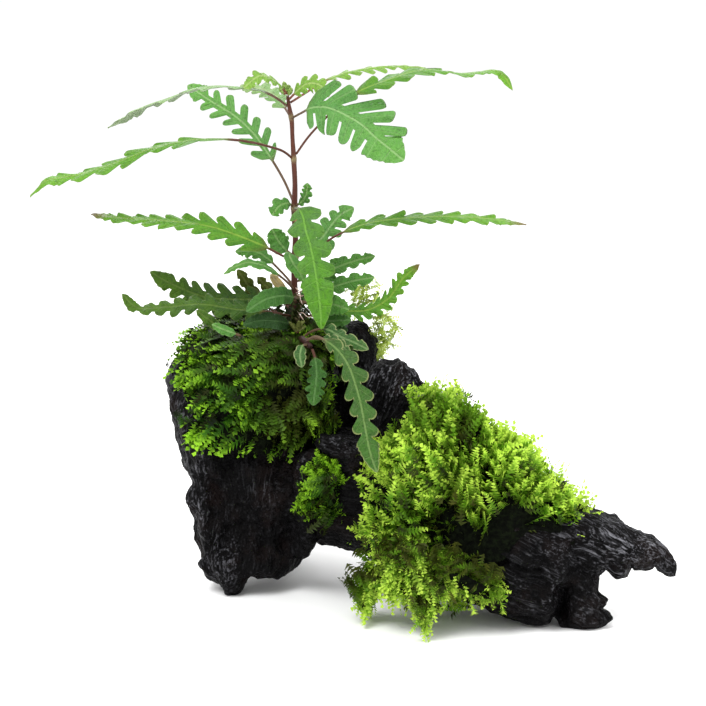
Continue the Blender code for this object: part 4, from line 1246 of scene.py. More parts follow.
MIDDLE_LEAVES = (
    LeafPlan("leaf_node_left_small", ((-23.5, 154.4, 4), (-26.4, 155.8, 0),
             (-29.4, 154.8, -3), (-32.4, 151.0, -5)), 7.5, (60, 68), 2, 0.45, 0.15, 0.05,
             LeafTone.MID),
    LeafPlan("leaf_node_right_small", ((-23.4, 154.8, 4), (-20.6, 156.4, 1),
             (-18.8, 159.4, -1), (-18.2, 164.0, -2)), 5, (72, 80), 3, 0.5, 0.15, 0.05,
             LeafTone.MID),
    LeafPlan("leaf_front_hanging", ((-23.5, 153.8, 4), (-21.4, 153.4, -5),
             (-19.8, 149.7, -10), (-19, 145.4, -13), (-17.2, 139.6, -15),
             (-15.5, 131.4, -17), (-14.2, 123.4, -18.5), (-13, 113, -19.5),
             (-12.6, 105.4, -20)), 16, (70, 86), 4, 0.66, 0.12, 0.05, LeafTone.SPRING,
             0.55, last=0.40, gap=0.10, skew=0.62),
    LeafPlan("leaf_round_left", ((-23.4, 134.6, 4), (-27, 137.4, 6), (-30, 141, 8),
             (-32.4, 145.6, 9)), 9, (72, 72), 3, 0.2, 0.2, 0.05, LeafTone.MID, 0.3),
    LeafPlan("leaf_long_left_middle", ((-23.2, 133, 4), (-26.7, 134.2, -1),
             (-35.6, 138.7, -4), (-43.4, 141.9, -6), (-58, 146.6, -8), (-77.1, 148.9, -9),
             (-96.2, 150.2, -8), (-104.6, 151.4, -7)), 12.5, (50, 60, 24, 18, 18), 9,
             0.58, 0.16, 0.06, LeafTone.BRIGHT, 1.5, 0.05, last=0.14, gap=0.10, skew=0.7),
    LeafPlan("leaf_left_pale_under", ((-23.3, 122.4, 4), (-28.6, 128.4, 10),
             (-33.8, 133.4, 12), (-38, 136.2, 13), (-47, 136.6, 13)), 7, (50, 50), 3, 0.4,
             0.45, 0.08, LeafTone.MID),
    LeafPlan("leaf_narrow_left", ((-23.3, 121, 4), (-26.6, 124.6, -2), (-30.6, 127.8, -5),
             (-35.6, 130.7, -7), (-42, 132, -8), (-47.1, 130.4, -9), (-51.6, 127.5, -9)),
             4.5, (36, 40), 3, 0.3, 0.34, 0.06, LeafTone.MID),
    LeafPlan("leaf_long_right_middle", ((-23.2, 134, 4), (-16, 137, 6), (-6.2, 143.2, 5),
             (7.1, 148, 3), (21.9, 149.9, 1), (44.1, 150.3, -2), (57.4, 149.2, -5),
             (69.2, 147.3, -8)), 11.5, (40, 32, 20, 18, 4), 8, 0.60, 0.22,
             0.10, LeafTone.BRIGHT, 1.5, 0.09, last=0.2, gap=0.10),
    LeafPlan("leaf_right_back_curly", ((-23.2, 136.4, 4), (-18, 138.6, 13),
             (-12.2, 142.2, 18), (-8.4, 147.4, 20), (-4.4, 151.6, 21), (0.4, 154.0, 21)),
             12, (66, 50), 4, 0.75, 0.3, 0.2, LeafTone.FRESH, 0.5, skew=0.7),
    LeafPlan("leaf_before_stem", ((-23.2, 134.8, 4), (-25.4, 135.4, -2),
             (-24.2, 132.4, -5), (-21.8, 129, -6.5), (-19.4, 124.6, -7.5)), 6, (74, 80),
             2, 0.15, 0.2, 0.05, LeafTone.MID, 0.3),
    LeafPlan("leaf_behind_right", ((-23.0, 112, 6), (-19.0, 117.4, 12), (-14.6, 123.0, 15),
             (-9.4, 128.6, 17), (-4.0, 133.6, 17)), 10, (70, 66), 4, 0.5, 0.2, 0.08,
             LeafTone.MID, 0.5),
)
LOWER_LEAVES = (
    LeafPlan("leaf_olive_left", ((-23.2, 108, 4), (-29, 111.6, 12), (-36, 115.6, 16),
             (-40.6, 121.4, 17), (-46.2, 129.4, 16)), 6, (70, 70), 3, 0.4, 0.5, 0.08,
             LeafTone.OLIVE),
    LeafPlan("leaf_olive_curl", ((-23.2, 111, 4), (-27, 115.6, 11), (-31, 119.4, 14),
             (-34.4, 122.6, 15), (-38.2, 126.4, 14)), 5.5, (65, 75), 3, 0.5, 0.4, 0.1,
             LeafTone.OLIVE),
    LeafPlan("leaf_dry", ((-23.2, 116.0, 4), (-27.0, 119.6, 0), (-30.0, 123.8, -1),
             (-33.0, 127.6, -1.4)), 4.5, (60, 75), 2, 0.15, 0.25, 0.15, LeafTone.DRY),
    LeafPlan("leaf_lower_left_upper", ((-23.1, 114.6, 4), (-33, 117.4, 6),
             (-45.2, 117.4, 7), (-59.2, 118.4, 8), (-70.7, 122.7, 7), (-77.1, 125.9, 6),
             (-81.2, 128.5, 5)), 14, (60, 52), 6, 0.66, 0.2, 0.08, LeafTone.MOSSY, 0.85,
             last=0.24, skew=0.6),
    LeafPlan("leaf_lower_left_lower", ((-23.0, 110.4, 4), (-33, 112.4, -4),
             (-45.4, 113.2, -7), (-61.2, 115.4, -9), (-75.8, 114.2, -10),
             (-87.3, 114.4, -11), (-92.4, 119.6, -11)), 12, (50, 44, 34), 8, 0.66, 0.2,
             0.08, LeafTone.MOSSY, 0.85, last=0.16, skew=0.5),
    LeafPlan("leaf_oval_front_left", ((-23.2, 118, 4), (-23.4, 118.2, -6),
             (-28, 118.9, -13), (-35, 117.4, -18), (-42.7, 112.6, -21)), 8, (66, 74), 4,
             0.16, 0.3, 0.05, LeafTone.DARK, 0.3, gap=0.05),
    LeafPlan("leaf_dark_below_left", ((-23.2, 106, 4), (-25.6, 107.6, -6),
             (-30, 108.6, -14), (-37, 108.9, -18), (-44, 107.2, -20)), 7, (64, 70), 3,
             0.2, 0.3, 0.05, LeafTone.SHADED, 0.3, gap=0.05),
    LeafPlan("leaf_right_upper_small", ((-23.4, 124.6, 4), (-14, 126.4, 9),
             (-6, 130.4, 11), (2, 133.2, 11), (8.9, 134.7, 10)), 7, (60, 60), 3, 0.55,
             0.35, 0.06, LeafTone.MID),
    LeafPlan("leaf_right_middle_small", ((-23.2, 118.6, 4), (-15, 119.6, 8),
             (-7.8, 122.4, 9), (0.2, 124.8, 9), (8.6, 126.2, 8)), 8, (60, 60), 3, 0.5,
             0.3, 0.06, LeafTone.MID, 0.5),
    LeafPlan("leaf_right_lower_long", ((-23.0, 109.4, 4), (-15, 111.4, 5),
             (-3, 112.6, 5), (6, 113.2, 4), (13.8, 117.4, 3), (20.4, 126.2, 2),
             (26.7, 131.4, 1)), 9, (45, 50, 45), 9, 0.6, 0.25, 0.08, LeafTone.MOSSY,
             0.9, 0.08, last=0.2, skew=0.7),
    LeafPlan("leaf_round_right", ((-23.2, 117.2, 4), (-19.4, 116.4, -4),
             (-13, 115.9, -8), (-7, 115.2, -10), (-1.6, 113.4, -11)), 9, (68, 72), 3,
             0.2, 0.35, 0.05, LeafTone.MID, 0.3, gap=0.05),
    LeafPlan("leaf_right_low_small", ((-23.2, 107.4, 4), (-17, 107.6, -3),
             (-11, 108.6, -7), (-6, 109.0, -9), (-0.6, 109.2, -10)), 6.5, (64, 66), 3,
             0.3, 0.35, 0.05, LeafTone.DARK),
    LeafPlan("leaf_base_right_dark", ((-22.6, 104, 4), (-18, 106.2, 3), (-11, 106.8, 1),
             (-2, 105.0, 0)), 7, (70, 74), 3, 0.35, 0.15, 0.05, LeafTone.SHADED, 0.4),
    LeafPlan("leaf_base_behind", ((-22.8, 105, 6), (-24.6, 111.0, 12), (-22.4, 116.0, 15),
             (-17.6, 119.2, 17)), 8, (70, 74), 3, 0.3, 0.2, 0.05, LeafTone.SHADED, 0.4),
    LeafPlan("leaf_variegated", ((-20.8, 101.5, -10), (-16.6, 104.6, -13),
             (-10.4, 105.4, -19), (-4.6, 102.4, -25), (0.6, 100.2, -27), (6.2, 97.4, -28)),
             6.5, (62, 70), 3, 0.5, 0.35, 0.05, LeafTone.EDGED),
    LeafPlan("leaf_variegated_small", ((-20.1, 101.4, -15.5), (-16.2, 101.8, -18.5),
             (-12, 101.6, -24), (-6.6, 100.6, -29), (-1.0, 95.4, -31)), 5, (64, 70), 3,
             0.5, 0.4, 0.05, LeafTone.EDGED),
    LeafPlan("leaf_long_hanging", ((-19.0, 100.4, -23.5), (-15, 102.6, -28),
             (-10, 100.4, -32), (-5.4, 96.4, -36), (-1.6, 90.5, -40), (0.8, 84, -43),
             (3, 76, -46), (4.8, 66.6, -50), (7.2, 55, -54), (9.6, 48.2, -56)),
             11, (66, 80), 6, 0.66, 0.15, 0.05, LeafTone.FROSTED, 1.15, gap=0.14),
    LeafPlan("leaf_small_hanging", ((-18.2, 99.4, -25.5), (-20.4, 98.6, -30),
             (-21.2, 95.2, -33), (-20.4, 90.2, -34.5)), 5, (64, 84), 2, 0.2, 0.25, 0.05,
             LeafTone.EDGED, 0.3),
    LeafPlan("leaf_dark_hanging", ((-16.6, 98.4, -27.6), (-15.2, 94, -29.5),
             (-14.6, 88, -30.5), (-15.2, 81, -31.5), (-16, 75, -32)), 8, (74, 84), 4, 0.55,
             0.15, 0.05, LeafTone.DARK),
    LeafPlan("leaf_far_left_small", ((-50, 104.0, -14), (-54.6, 107.0, -18),
             (-58.6, 110.0, -21), (-62.8, 113.0, -23)), 5, (60, 60), 2, 0.2, 0.2, 0.05,
             LeafTone.MOSSY, 0.3),
    LeafPlan("leaf_far_left_low", ((-44.5, 102.8, -24), (-48, 104.0, -27),
             (-52, 105.4, -29), (-56.4, 107.4, -30)), 4.5, (60, 60), 2, 0.2, 0.2, 0.05,
             LeafTone.MID, 0.3),
)
BUD_LEAVES = (
    LeafPlan("bud_a", ((-26.4, 198.8, 4), (-26.9, 201.4, 3.2), (-27.8, 204.6, 2.4)),
             2.4, (80, 80), 2, 0.1, 0.1, 0.3, LeafTone.LIME, 0.2),
    LeafPlan("bud_b", ((-26.2, 198.8, 4.2), (-25.6, 201.0, 4.6), (-25.9, 203.4, 4.6)),
             2.2, (100, 100), 2, 0.1, 0.1, 0.3, LeafTone.LIME, 0.2),
    LeafPlan("bud_c", ((-26.6, 198.9, 4.2), (-28.2, 200.8, 5.0), (-29.4, 202.6, 5.6)),
             2.2, (90, 90), 2, 0.1, 0.1, 0.3, LeafTone.LIME, 0.2),
    LeafPlan("bud_d", ((-26.3, 198.6, 3.8), (-25.2, 200.4, 2.4), (-24.4, 202.0, 1.6)),
             2.0, (85, 85), 2, 0.1, 0.1, 0.3, LeafTone.LIME, 0.2),
)
ROSETTE_HEART = (-22.4, 103.4, -9.0)
STALK_RADIUS = 0.5
LEAF_START = 0.9
RIGHT_OFFSET = 0.3
GAP_EDGE = 0.002
FULL_TURN = 6.283


@dataclass
class Leaf:
    """One leaf: a closed thin profile carried along the rib, with forward-swept lobes.

    rib_half and edge_half are half the thickness at the rib, which reaches rib_reach to
    each side, and at the margin. wall is the width of a lobe's steep side, as a share of
    a lobe. bend is the slope of a lobe, and puff and ruffle are the heights of the
    swelling between the veins and of the wave at the margin. crenation is the depth of
    the small notches in the last lobe.
    """

    plan: LeafPlan
    sides: int = 24
    lobe_rows: int = 9
    end_rows: int = 16
    path_rows: int = 300
    wall: float = 0.012
    rib_half: float = 0.27
    rib_reach: float = 0.75
    edge_half: float = 0.09
    bend: float = 0.20
    puff: float = 0.30
    ruffle: float = 0.20
    crenation: float = 0.04
    lobe_sizes: tuple[float, float] = (0.86, 1.06)

    def rows(self, length: float) -> Array:
        """Where the rings lie, as shares of the leaf's length.

        They are close together at the round end and at the walls of each lobe, and
        evenly spaced along the stalk.
        """
        plan = self.plan
        pitch = (1 - plan.last) / plan.lobes
        turn = np.linspace(np.pi, 0, self.lobe_rows)
        across = np.concatenate((0.5 * (1 - plan.gap) * np.cos(turn),
                                 0.5 * (1 - plan.gap) * np.array([-1, 1])
                                 + self.wall * np.array([-1, 1]), (0.5,)))
        lobes = (np.arange(plan.lobes + 1)[:, None] + 0.5 + across[None, :]).ravel()
        blade = np.concatenate([(lobes - offset) * pitch for offset in (0.0, RIGHT_OFFSET)])
        blade = blade[(blade > 0) & (blade < 1 - plan.last + 0.5 * pitch)]
        ending = 1 - plan.last * np.linspace(1, 0, self.end_rows) ** 1.7
        blade = np.concatenate(((0.0,), blade, ending))
        foot = np.linspace(0, plan.stalk, int(plan.stalk * length / 1.2) + 4)
        share = np.concatenate((foot, plan.stalk + (1 - plan.stalk) * blade))
        return np.unique(np.round(share, 5))

    def outline(self, blade: Array, hand: float, reach: float
                ) -> tuple[Array, Array, Array, Array]:
        """Half width along one side of the leaf.

        Each lobe is a finger with a round end, which the lean carries ahead. At the
        place u across a finger, -1 to 1, its half width is the top less r times
        (1 - sin(acos(u) - slant)), where the slant is the angle of the lean and r the
        radius of the round end. Outside the fingers the half width is the floor.

        Args:
            blade: how far along the blade, 0 at its foot and 1 at the tip.
            hand: -1 for the left side and 1 for the right, whose lobes are offset.
            reach: the blade's length.

        Returns:
            Half widths, the lobe phase, how far the blade has grown from the stalk,
            and the half width that the leaf would have without gaps.
        """
        plan = self.plan
        chance = np.random.default_rng(sum(map(ord, plan.name)) + int(hand))
        lean = plan.lean + hand * plan.twist
        full = np.sin(np.pi * (0.12 + 0.82 * blade) ** plan.skew) ** 0.6
        pitch = (1 - plan.last) / plan.lobes
        phase = np.clip(blade / pitch, 0, None) + (RIGHT_OFFSET if hand > 0 else 0.0)
        lobe = np.minimum(np.floor(phase), plan.lobes).astype(int)
        size = chance.uniform(*self.lobe_sizes, plan.lobes + 1)
        size[-1] = 1.0
        notches = np.cos(2 * np.pi * 2.5 * phase + hand)
        crenate = 1 + self.crenation * notches * (lobe == plan.lobes)
        wide = 0.5 * plan.width * full
        top = wide * size[lobe] * crenate
        least = max(STALK_RADIUS, 0.06 * plan.width)
        floor = np.maximum(wide * (1 - plan.notch * (1 - 0.25 * blade)), least)
        slant = math.atan(lean)
        u = (phase - lobe - 0.5) / (0.5 * (1 - plan.gap))
        u = np.where(lobe == plan.lobes, np.minimum(u, -math.sin(slant)), u)
        finger = 0.5 * pitch * reach * (1 - plan.gap) / math.hypot(1, lean)
        radius = np.minimum(finger, np.maximum(top - floor, 0) / (1 + math.sin(slant)))
        half = top - radius * (1 - np.sin(np.arccos(np.clip(u, -1, 1)) - slant))
        half = np.where(np.abs(u) > 1 + GAP_EDGE, floor, np.maximum(half, floor))
        grown = eased(0.0, 0.35 * pitch, blade)
        turn = 1 - 0.55 * plan.last
        end = np.sqrt(np.clip(1 - (np.maximum(blade - turn, 0) / (1 - turn)) ** 2, 0, 1))
        half = STALK_RADIUS + (np.maximum(half, least) - STALK_RADIUS) * grown
        return np.maximum(half * end, 0.05), phase, grown, np.maximum(wide, STALK_RADIUS)

    def surface(self) -> tuple[Array, Array, dict[str, Array]]:
        """Points, triangles and marks of the leaf.

        A ring's angle goes round the profile. Its cosine is the place across the blade
        and its sine is the upper or lower face. Points away from the rib move ahead by
        the lean and down by the droop, and each lobe is bent a little on its own.
        """
        plan = self.plan
        path = smooth_rows(placed(plan.path), 120)
        path = path[np.linalg.norm(path - path[0], axis=1) >= LEAF_START]
        length = path_length(path)
        path = smooth_rows(path, self.path_rows)
        share = self.rows(length)
        even = np.linspace(0, 1, len(path))
        ahead = unit(np.gradient(path, axis=0))
        path, ahead = (np.column_stack([np.interp(share, even, value) for value in rows.T])
                       for rows in (path, ahead))
        along = (share - plan.stalk) / (1 - plan.stalk)
        blade = np.clip(along, 0.0, 1.0)
        reach = length * (1 - plan.stalk)
        left, left_phase, grown, wide = (
            value[:, None] for value in self.outline(blade, -1.0, reach))
        right_half, right_phase, _, _ = (
            value[:, None] for value in self.outline(blade, 1.0, reach))
        roll = np.radians(np.interp(share, np.linspace(0, 1, len(plan.roll)), plan.roll))
        sky = np.column_stack((0 * roll, -np.sin(roll), np.cos(roll)))
        right = unit(np.cross(ahead, sky))
        face = np.cross(right, ahead)
        angle = np.linspace(0, 2 * np.pi, self.sides, endpoint=False)[None, :]
        cosine = np.cos(angle)
        aside = np.sign(cosine) * np.abs(cosine) ** 1.25
        half = np.where(aside < 0, left, right_half)
        phase = np.where(aside < 0, left_phase, right_phase)
        x = aside * half
        rib = STALK_RADIUS + (self.rib_half - STALK_RADIUS) * grown
        thick = self.edge_half + (rib - self.edge_half) * np.exp(-(x / self.rib_reach) ** 2)
        lift = thick * np.sin(angle)
        turn = FULL_TURN * (sum(map(ord, plan.name)) % 17) / 17
        out = np.clip(np.abs(x) / wide, 0, 1)
        swell = np.sin(np.pi * phase) ** 2
        lobe = np.minimum(np.floor(phase), plan.lobes)
        bend = self.bend * np.abs(x) * np.sin(2.4 * lobe + turn + 1.3 * np.sign(x)) * swell
        puff = self.puff * swell * 4 * out * (1 - out)
        ruffle = self.ruffle * out**4 * np.sin(2 * np.pi * 2 * phase + turn + np.sign(x))
        drop = plan.droop * np.maximum(np.abs(x) - STALK_RADIUS, 0)
        lift = lift + (bend + puff + ruffle - drop) * grown
        lean = plan.lean + plan.twist * np.sign(x)
        fade = eased(1 - 1.2 * plan.last, 1 - 0.4 * plan.last, blade)
        lean = lean * (1 - 0.85 * fade)[:, None]
        shift = lean * grown * np.abs(x) ** 1.2 / (0.5 * plan.width) ** 0.2
        points = (path[:, None, :] + right[:, None, :] * x[..., None]
                  + ahead[:, None, :] * shift[..., None] + face[:, None, :] * lift[..., None])
        ends = np.vstack((path[0] - 0.3 * ahead[0], path[-1] + 0.25 * ahead[-1]))
        points = inside_box(np.vstack((points.reshape(-1, 3), ends)))
        margin = np.where(grown > 0.3, half - np.abs(x), 5.0)
        marks = {"rib": x, "margin": margin, "vein": phase,
                 "along": along[:, None] + 0 * x, "top": np.sin(angle) + 0 * x}
        closing = {"rib": (0, 0), "margin": (5, 0), "vein": (-0.3, phase[-1, 0]),
                   "along": (along[0], 1.0), "top": (0, 0)}
        marks = {key: np.append(value.ravel(), closing[key]) for key, value in marks.items()}
        triangles = outward(points, tube_triangles(len(share), self.sides))
        return points, triangles, marks

    def build(self) -> bpy.types.Object:
        """Make the leaf in place of its solid."""
        made = add_mesh(self.plan.name + "_blade", *self.surface())
        return fitted(made, LEAF_FINISHES[self.plan.tone].slot, self.plan.name)


@dataclass
class Foliage:
    """All the leaves, the bud at the top and the rosette at the foot."""

    plans: tuple[LeafPlan, ...] = TOP_LEAVES + MIDDLE_LEAVES + LOWER_LEAVES
    rosette_blades: int = 9
    rosette_reach: tuple[float, float] = (2.2, 4.2)
    rosette_rise: tuple[float, float] = (3.0, 6.0)
    browned_tip: float = 0.13
    bud_sides: int = 14
    seed: int = 23

    def __post_init__(self) -> None:
        """Make each finish once."""
        self.materials = {tone: finish.material() for tone, finish in LEAF_FINISHES.items()}
        self.browned = replace(LEAF_FINISHES[LeafTone.BRIGHT], name="leaf_bright_browned",
                               tip_brown=self.browned_tip).material()

    def build(self) -> list[bpy.types.Object]:
        """Make and dress every leaf."""
        made = []
        for plan in self.plans:
            leaf = Leaf(plan).build()
            finish = self.browned if plan.tip_brown else self.materials[plan.tone]
            leaf.data.materials.append(finish)
            made.append(leaf)
        made.append(self.cluster("crown_bud", BUD_LEAVES, LeafTone.LIME))
        made.append(self.cluster("plantlet", self.rosette(), LeafTone.OLIVE))
        return made

    def rosette(self) -> tuple[LeafPlan, ...]:
        """Narrow pointed blades that fan out from the rosette's heart."""
        chance = np.random.default_rng(self.seed)
        across, up, back = ROSETTE_HEART
        plans = []
        for blade in range(self.rosette_blades):
            turn = 2 * math.pi * blade / self.rosette_blades + chance.uniform(-0.2, 0.2)
            reach = chance.uniform(*self.rosette_reach)
            rise = chance.uniform(*self.rosette_rise)
            x, y = reach * math.cos(turn), reach * math.sin(turn) * 0.7
            path = ((across, up, back), (across + 0.4 * x, up + 0.6 * rise, back + 0.4 * y),
                    (across + x, up + rise, back + y))
            plans.append(LeafPlan(f"blade_{blade}", path, 1.5, (70, 80), 2, 0.05, 0.1, 0.1,
                                  LeafTone.OLIVE, 0.1))
        return tuple(plans)

    def cluster(self, name: str, plans: tuple[LeafPlan, ...],
                tone: LeafTone) -> bpy.types.Object:
        """Join small leaves into one piece in place of a solid."""
        points, triangles, marks = merged([Leaf(plan, self.bud_sides).surface()
                                           for plan in plans])
        made = add_mesh(name + "_leaves", points, triangles, marks)
        made.data.materials.append(self.materials[tone])
        return fitted(made, LEAF_FINISHES[tone].slot, name)


# Moss

@dataclass(frozen=True)
class Spot:
    """A round place in the moss, seen from the front, that changes its tone and age.

    sink is how much lower the moss lies there, in millimetres, bare is the chance that
    none grows, and slope makes the rim of the place sharp when it is large.
    """

    across: float
    up: float
    reach: float
    tone: float = 0.0
    age: float = 0.0
    sink: float = 0.0
    bare: float = 0.0
    slope: float = 2.0

    def share(self, points: Array) -> Array:
        """1 at the middle of the place, and less with the distance from it."""
        across, up = seen(points)
        away = np.hypot(across - self.across, up - self.up)
        return np.exp(-((away / self.reach) ** self.slope))


@dataclass(frozen=True)
class Growth:
    """How fronds grow: their size, which way they lean and how flat they lie.

    out is the share of the outward direction, pull is added to it, spread is the share
    of chance, bend curves the frond, and flat turns its face to the outside. A large
    widest makes the frond a triangle that is widest at its foot.
    """

    length: tuple[float, float] = (8.0, 12.5)
    leaflet: float = 1.8
    stations: int = 9
    out: float = 1.0
    pull: tuple[float, float, float] = (0.0, 0.0, 0.35)
    spread: float = 0.40
    bend: tuple[float, float, float] = (0.0, 0.0, 0.10)
    flat: float = 0.5
    widest: float = 0.35


@dataclass
class Fronds:
    """Feathery fronds, each a row of narrow leaflet pairs along a curved axis.

    rib is the axis's half width at its foot, and foot_share the share of a step that a
    leaflet's foot takes. angle is a leaflet's angle at the root in degrees, closing how
    much less it is at the end, and rise how far it stands out of the frond's face.
    """

    roots: Array
    ahead: Array
    facing: Array
    lengths: Array
    tones: Array
    ages: Array
    growth: Growth
    seed: int
    rib: float = 0.24
    foot_share: float = 0.95
    narrowing: float = 0.92
    angle: float = 60.0
    closing: float = 26.0
    angle_spread: float = 8.0
    size_spread: tuple[float, float] = (0.7, 1.2)
    bend_spread: float = 0.12
    rise: float = 0.22
    tip_spread: float = 0.09

    def surface(self) -> tuple[Array, Array, dict[str, Array]]:
        """Points, triangles and marks of every frond at once.

        An axis point is the root plus its direction times the length and share, plus
        the bend times the share squared. A leaflet is a narrow triangle: its foot is a
        short stretch of the axis, and its tip lies ahead and aside at an angle that
        closes towards the end. The rib is a thin long triangle from root to end.
        """
        chance = np.random.default_rng(self.seed)
        count, stations = len(self.roots), self.growth.stations
        step = 1.0 / stations
        first = np.arange(stations) * step
        share = np.concatenate((first, first + self.foot_share * step, (1.0,)))[None, :, None]
        length = self.lengths[:, None, None]
        bend = (np.array(self.growth.bend)
                + self.bend_spread * chance.normal(size=(count, 1, 3)))
        ahead = self.ahead[:, None, :]
        axis = self.roots[:, None, :] + length * (ahead * share + bend * share**2)
        tangent = unit(ahead + 2 * bend * share)
        flat = self.growth.flat
        helper = unit(flat * self.facing[:, None, :]
                      + (1 - flat) * unit(chance.normal(size=(count, 1, 3))))
        side = unit(np.cross(tangent, helper))
        face = np.cross(side, tangent)
        foot, side_at, face_at, tangent_at = (
            values[:, :stations] for values in (axis, side, face, tangent))
        along = share[:, :stations]
        widest = self.growth.widest
        taper = np.sin(np.pi * (widest + (self.narrowing - widest) * along)) ** 0.7
        size = self.growth.leaflet * taper
        size = size * (length / np.mean(self.lengths)) ** 0.5
        layers = [axis, self.roots[:, None, :] + self.rib * side[:, :1],
                  self.roots[:, None, :] - self.rib * side[:, :1]]
        for hand in (-1.0, 1.0):
            angle = np.radians(self.angle - self.closing * along
                               + chance.normal(0, self.angle_spread, (count, stations, 1)))
            own = size * chance.uniform(*self.size_spread, (count, stations, 1))
            layers.append(foot + own * (np.cos(angle) * tangent_at
                                        + hand * np.sin(angle) * side_at
                                        + self.rise * face_at))
        points = np.concatenate(layers, axis=1)
        row = points.shape[1]
        base = (np.arange(count) * row)[:, None]
        feet = base + np.arange(stations)[None, :]
        tips = base + 2 * stations + 3 + np.arange(stations)[None, :]
        ribs = base + np.array([[2 * stations + 1, 2 * stations + 2, 2 * stations]])
        triangles = [np.stack((feet, feet + stations, tips), -1).reshape(-1, 3),
                     np.stack((feet, tips + stations, feet + stations), -1).reshape(-1, 3),
                     ribs]
        # The tip mark darkens each axis towards its root and brightens the leaflet tips: the
        # moss's own colour, plus painted shade and painted highlight.
        part = share[0, :, 0]
        own = chance.normal(0, self.tip_spread, (count, 2 * stations))
        tip = np.tile(np.concatenate((part - 0.15, (0.0, 0.0), first + 0.16, first + 0.16)),
                      (count, 1))
        tip[:, -2 * stations:] += own
        marks = {"tip": np.clip(tip, 0, 1).ravel(), "tone": np.repeat(self.tones, row),
                 "age": np.repeat(self.ages, row)}
        return points.reshape(-1, 3), np.concatenate(triangles), marks


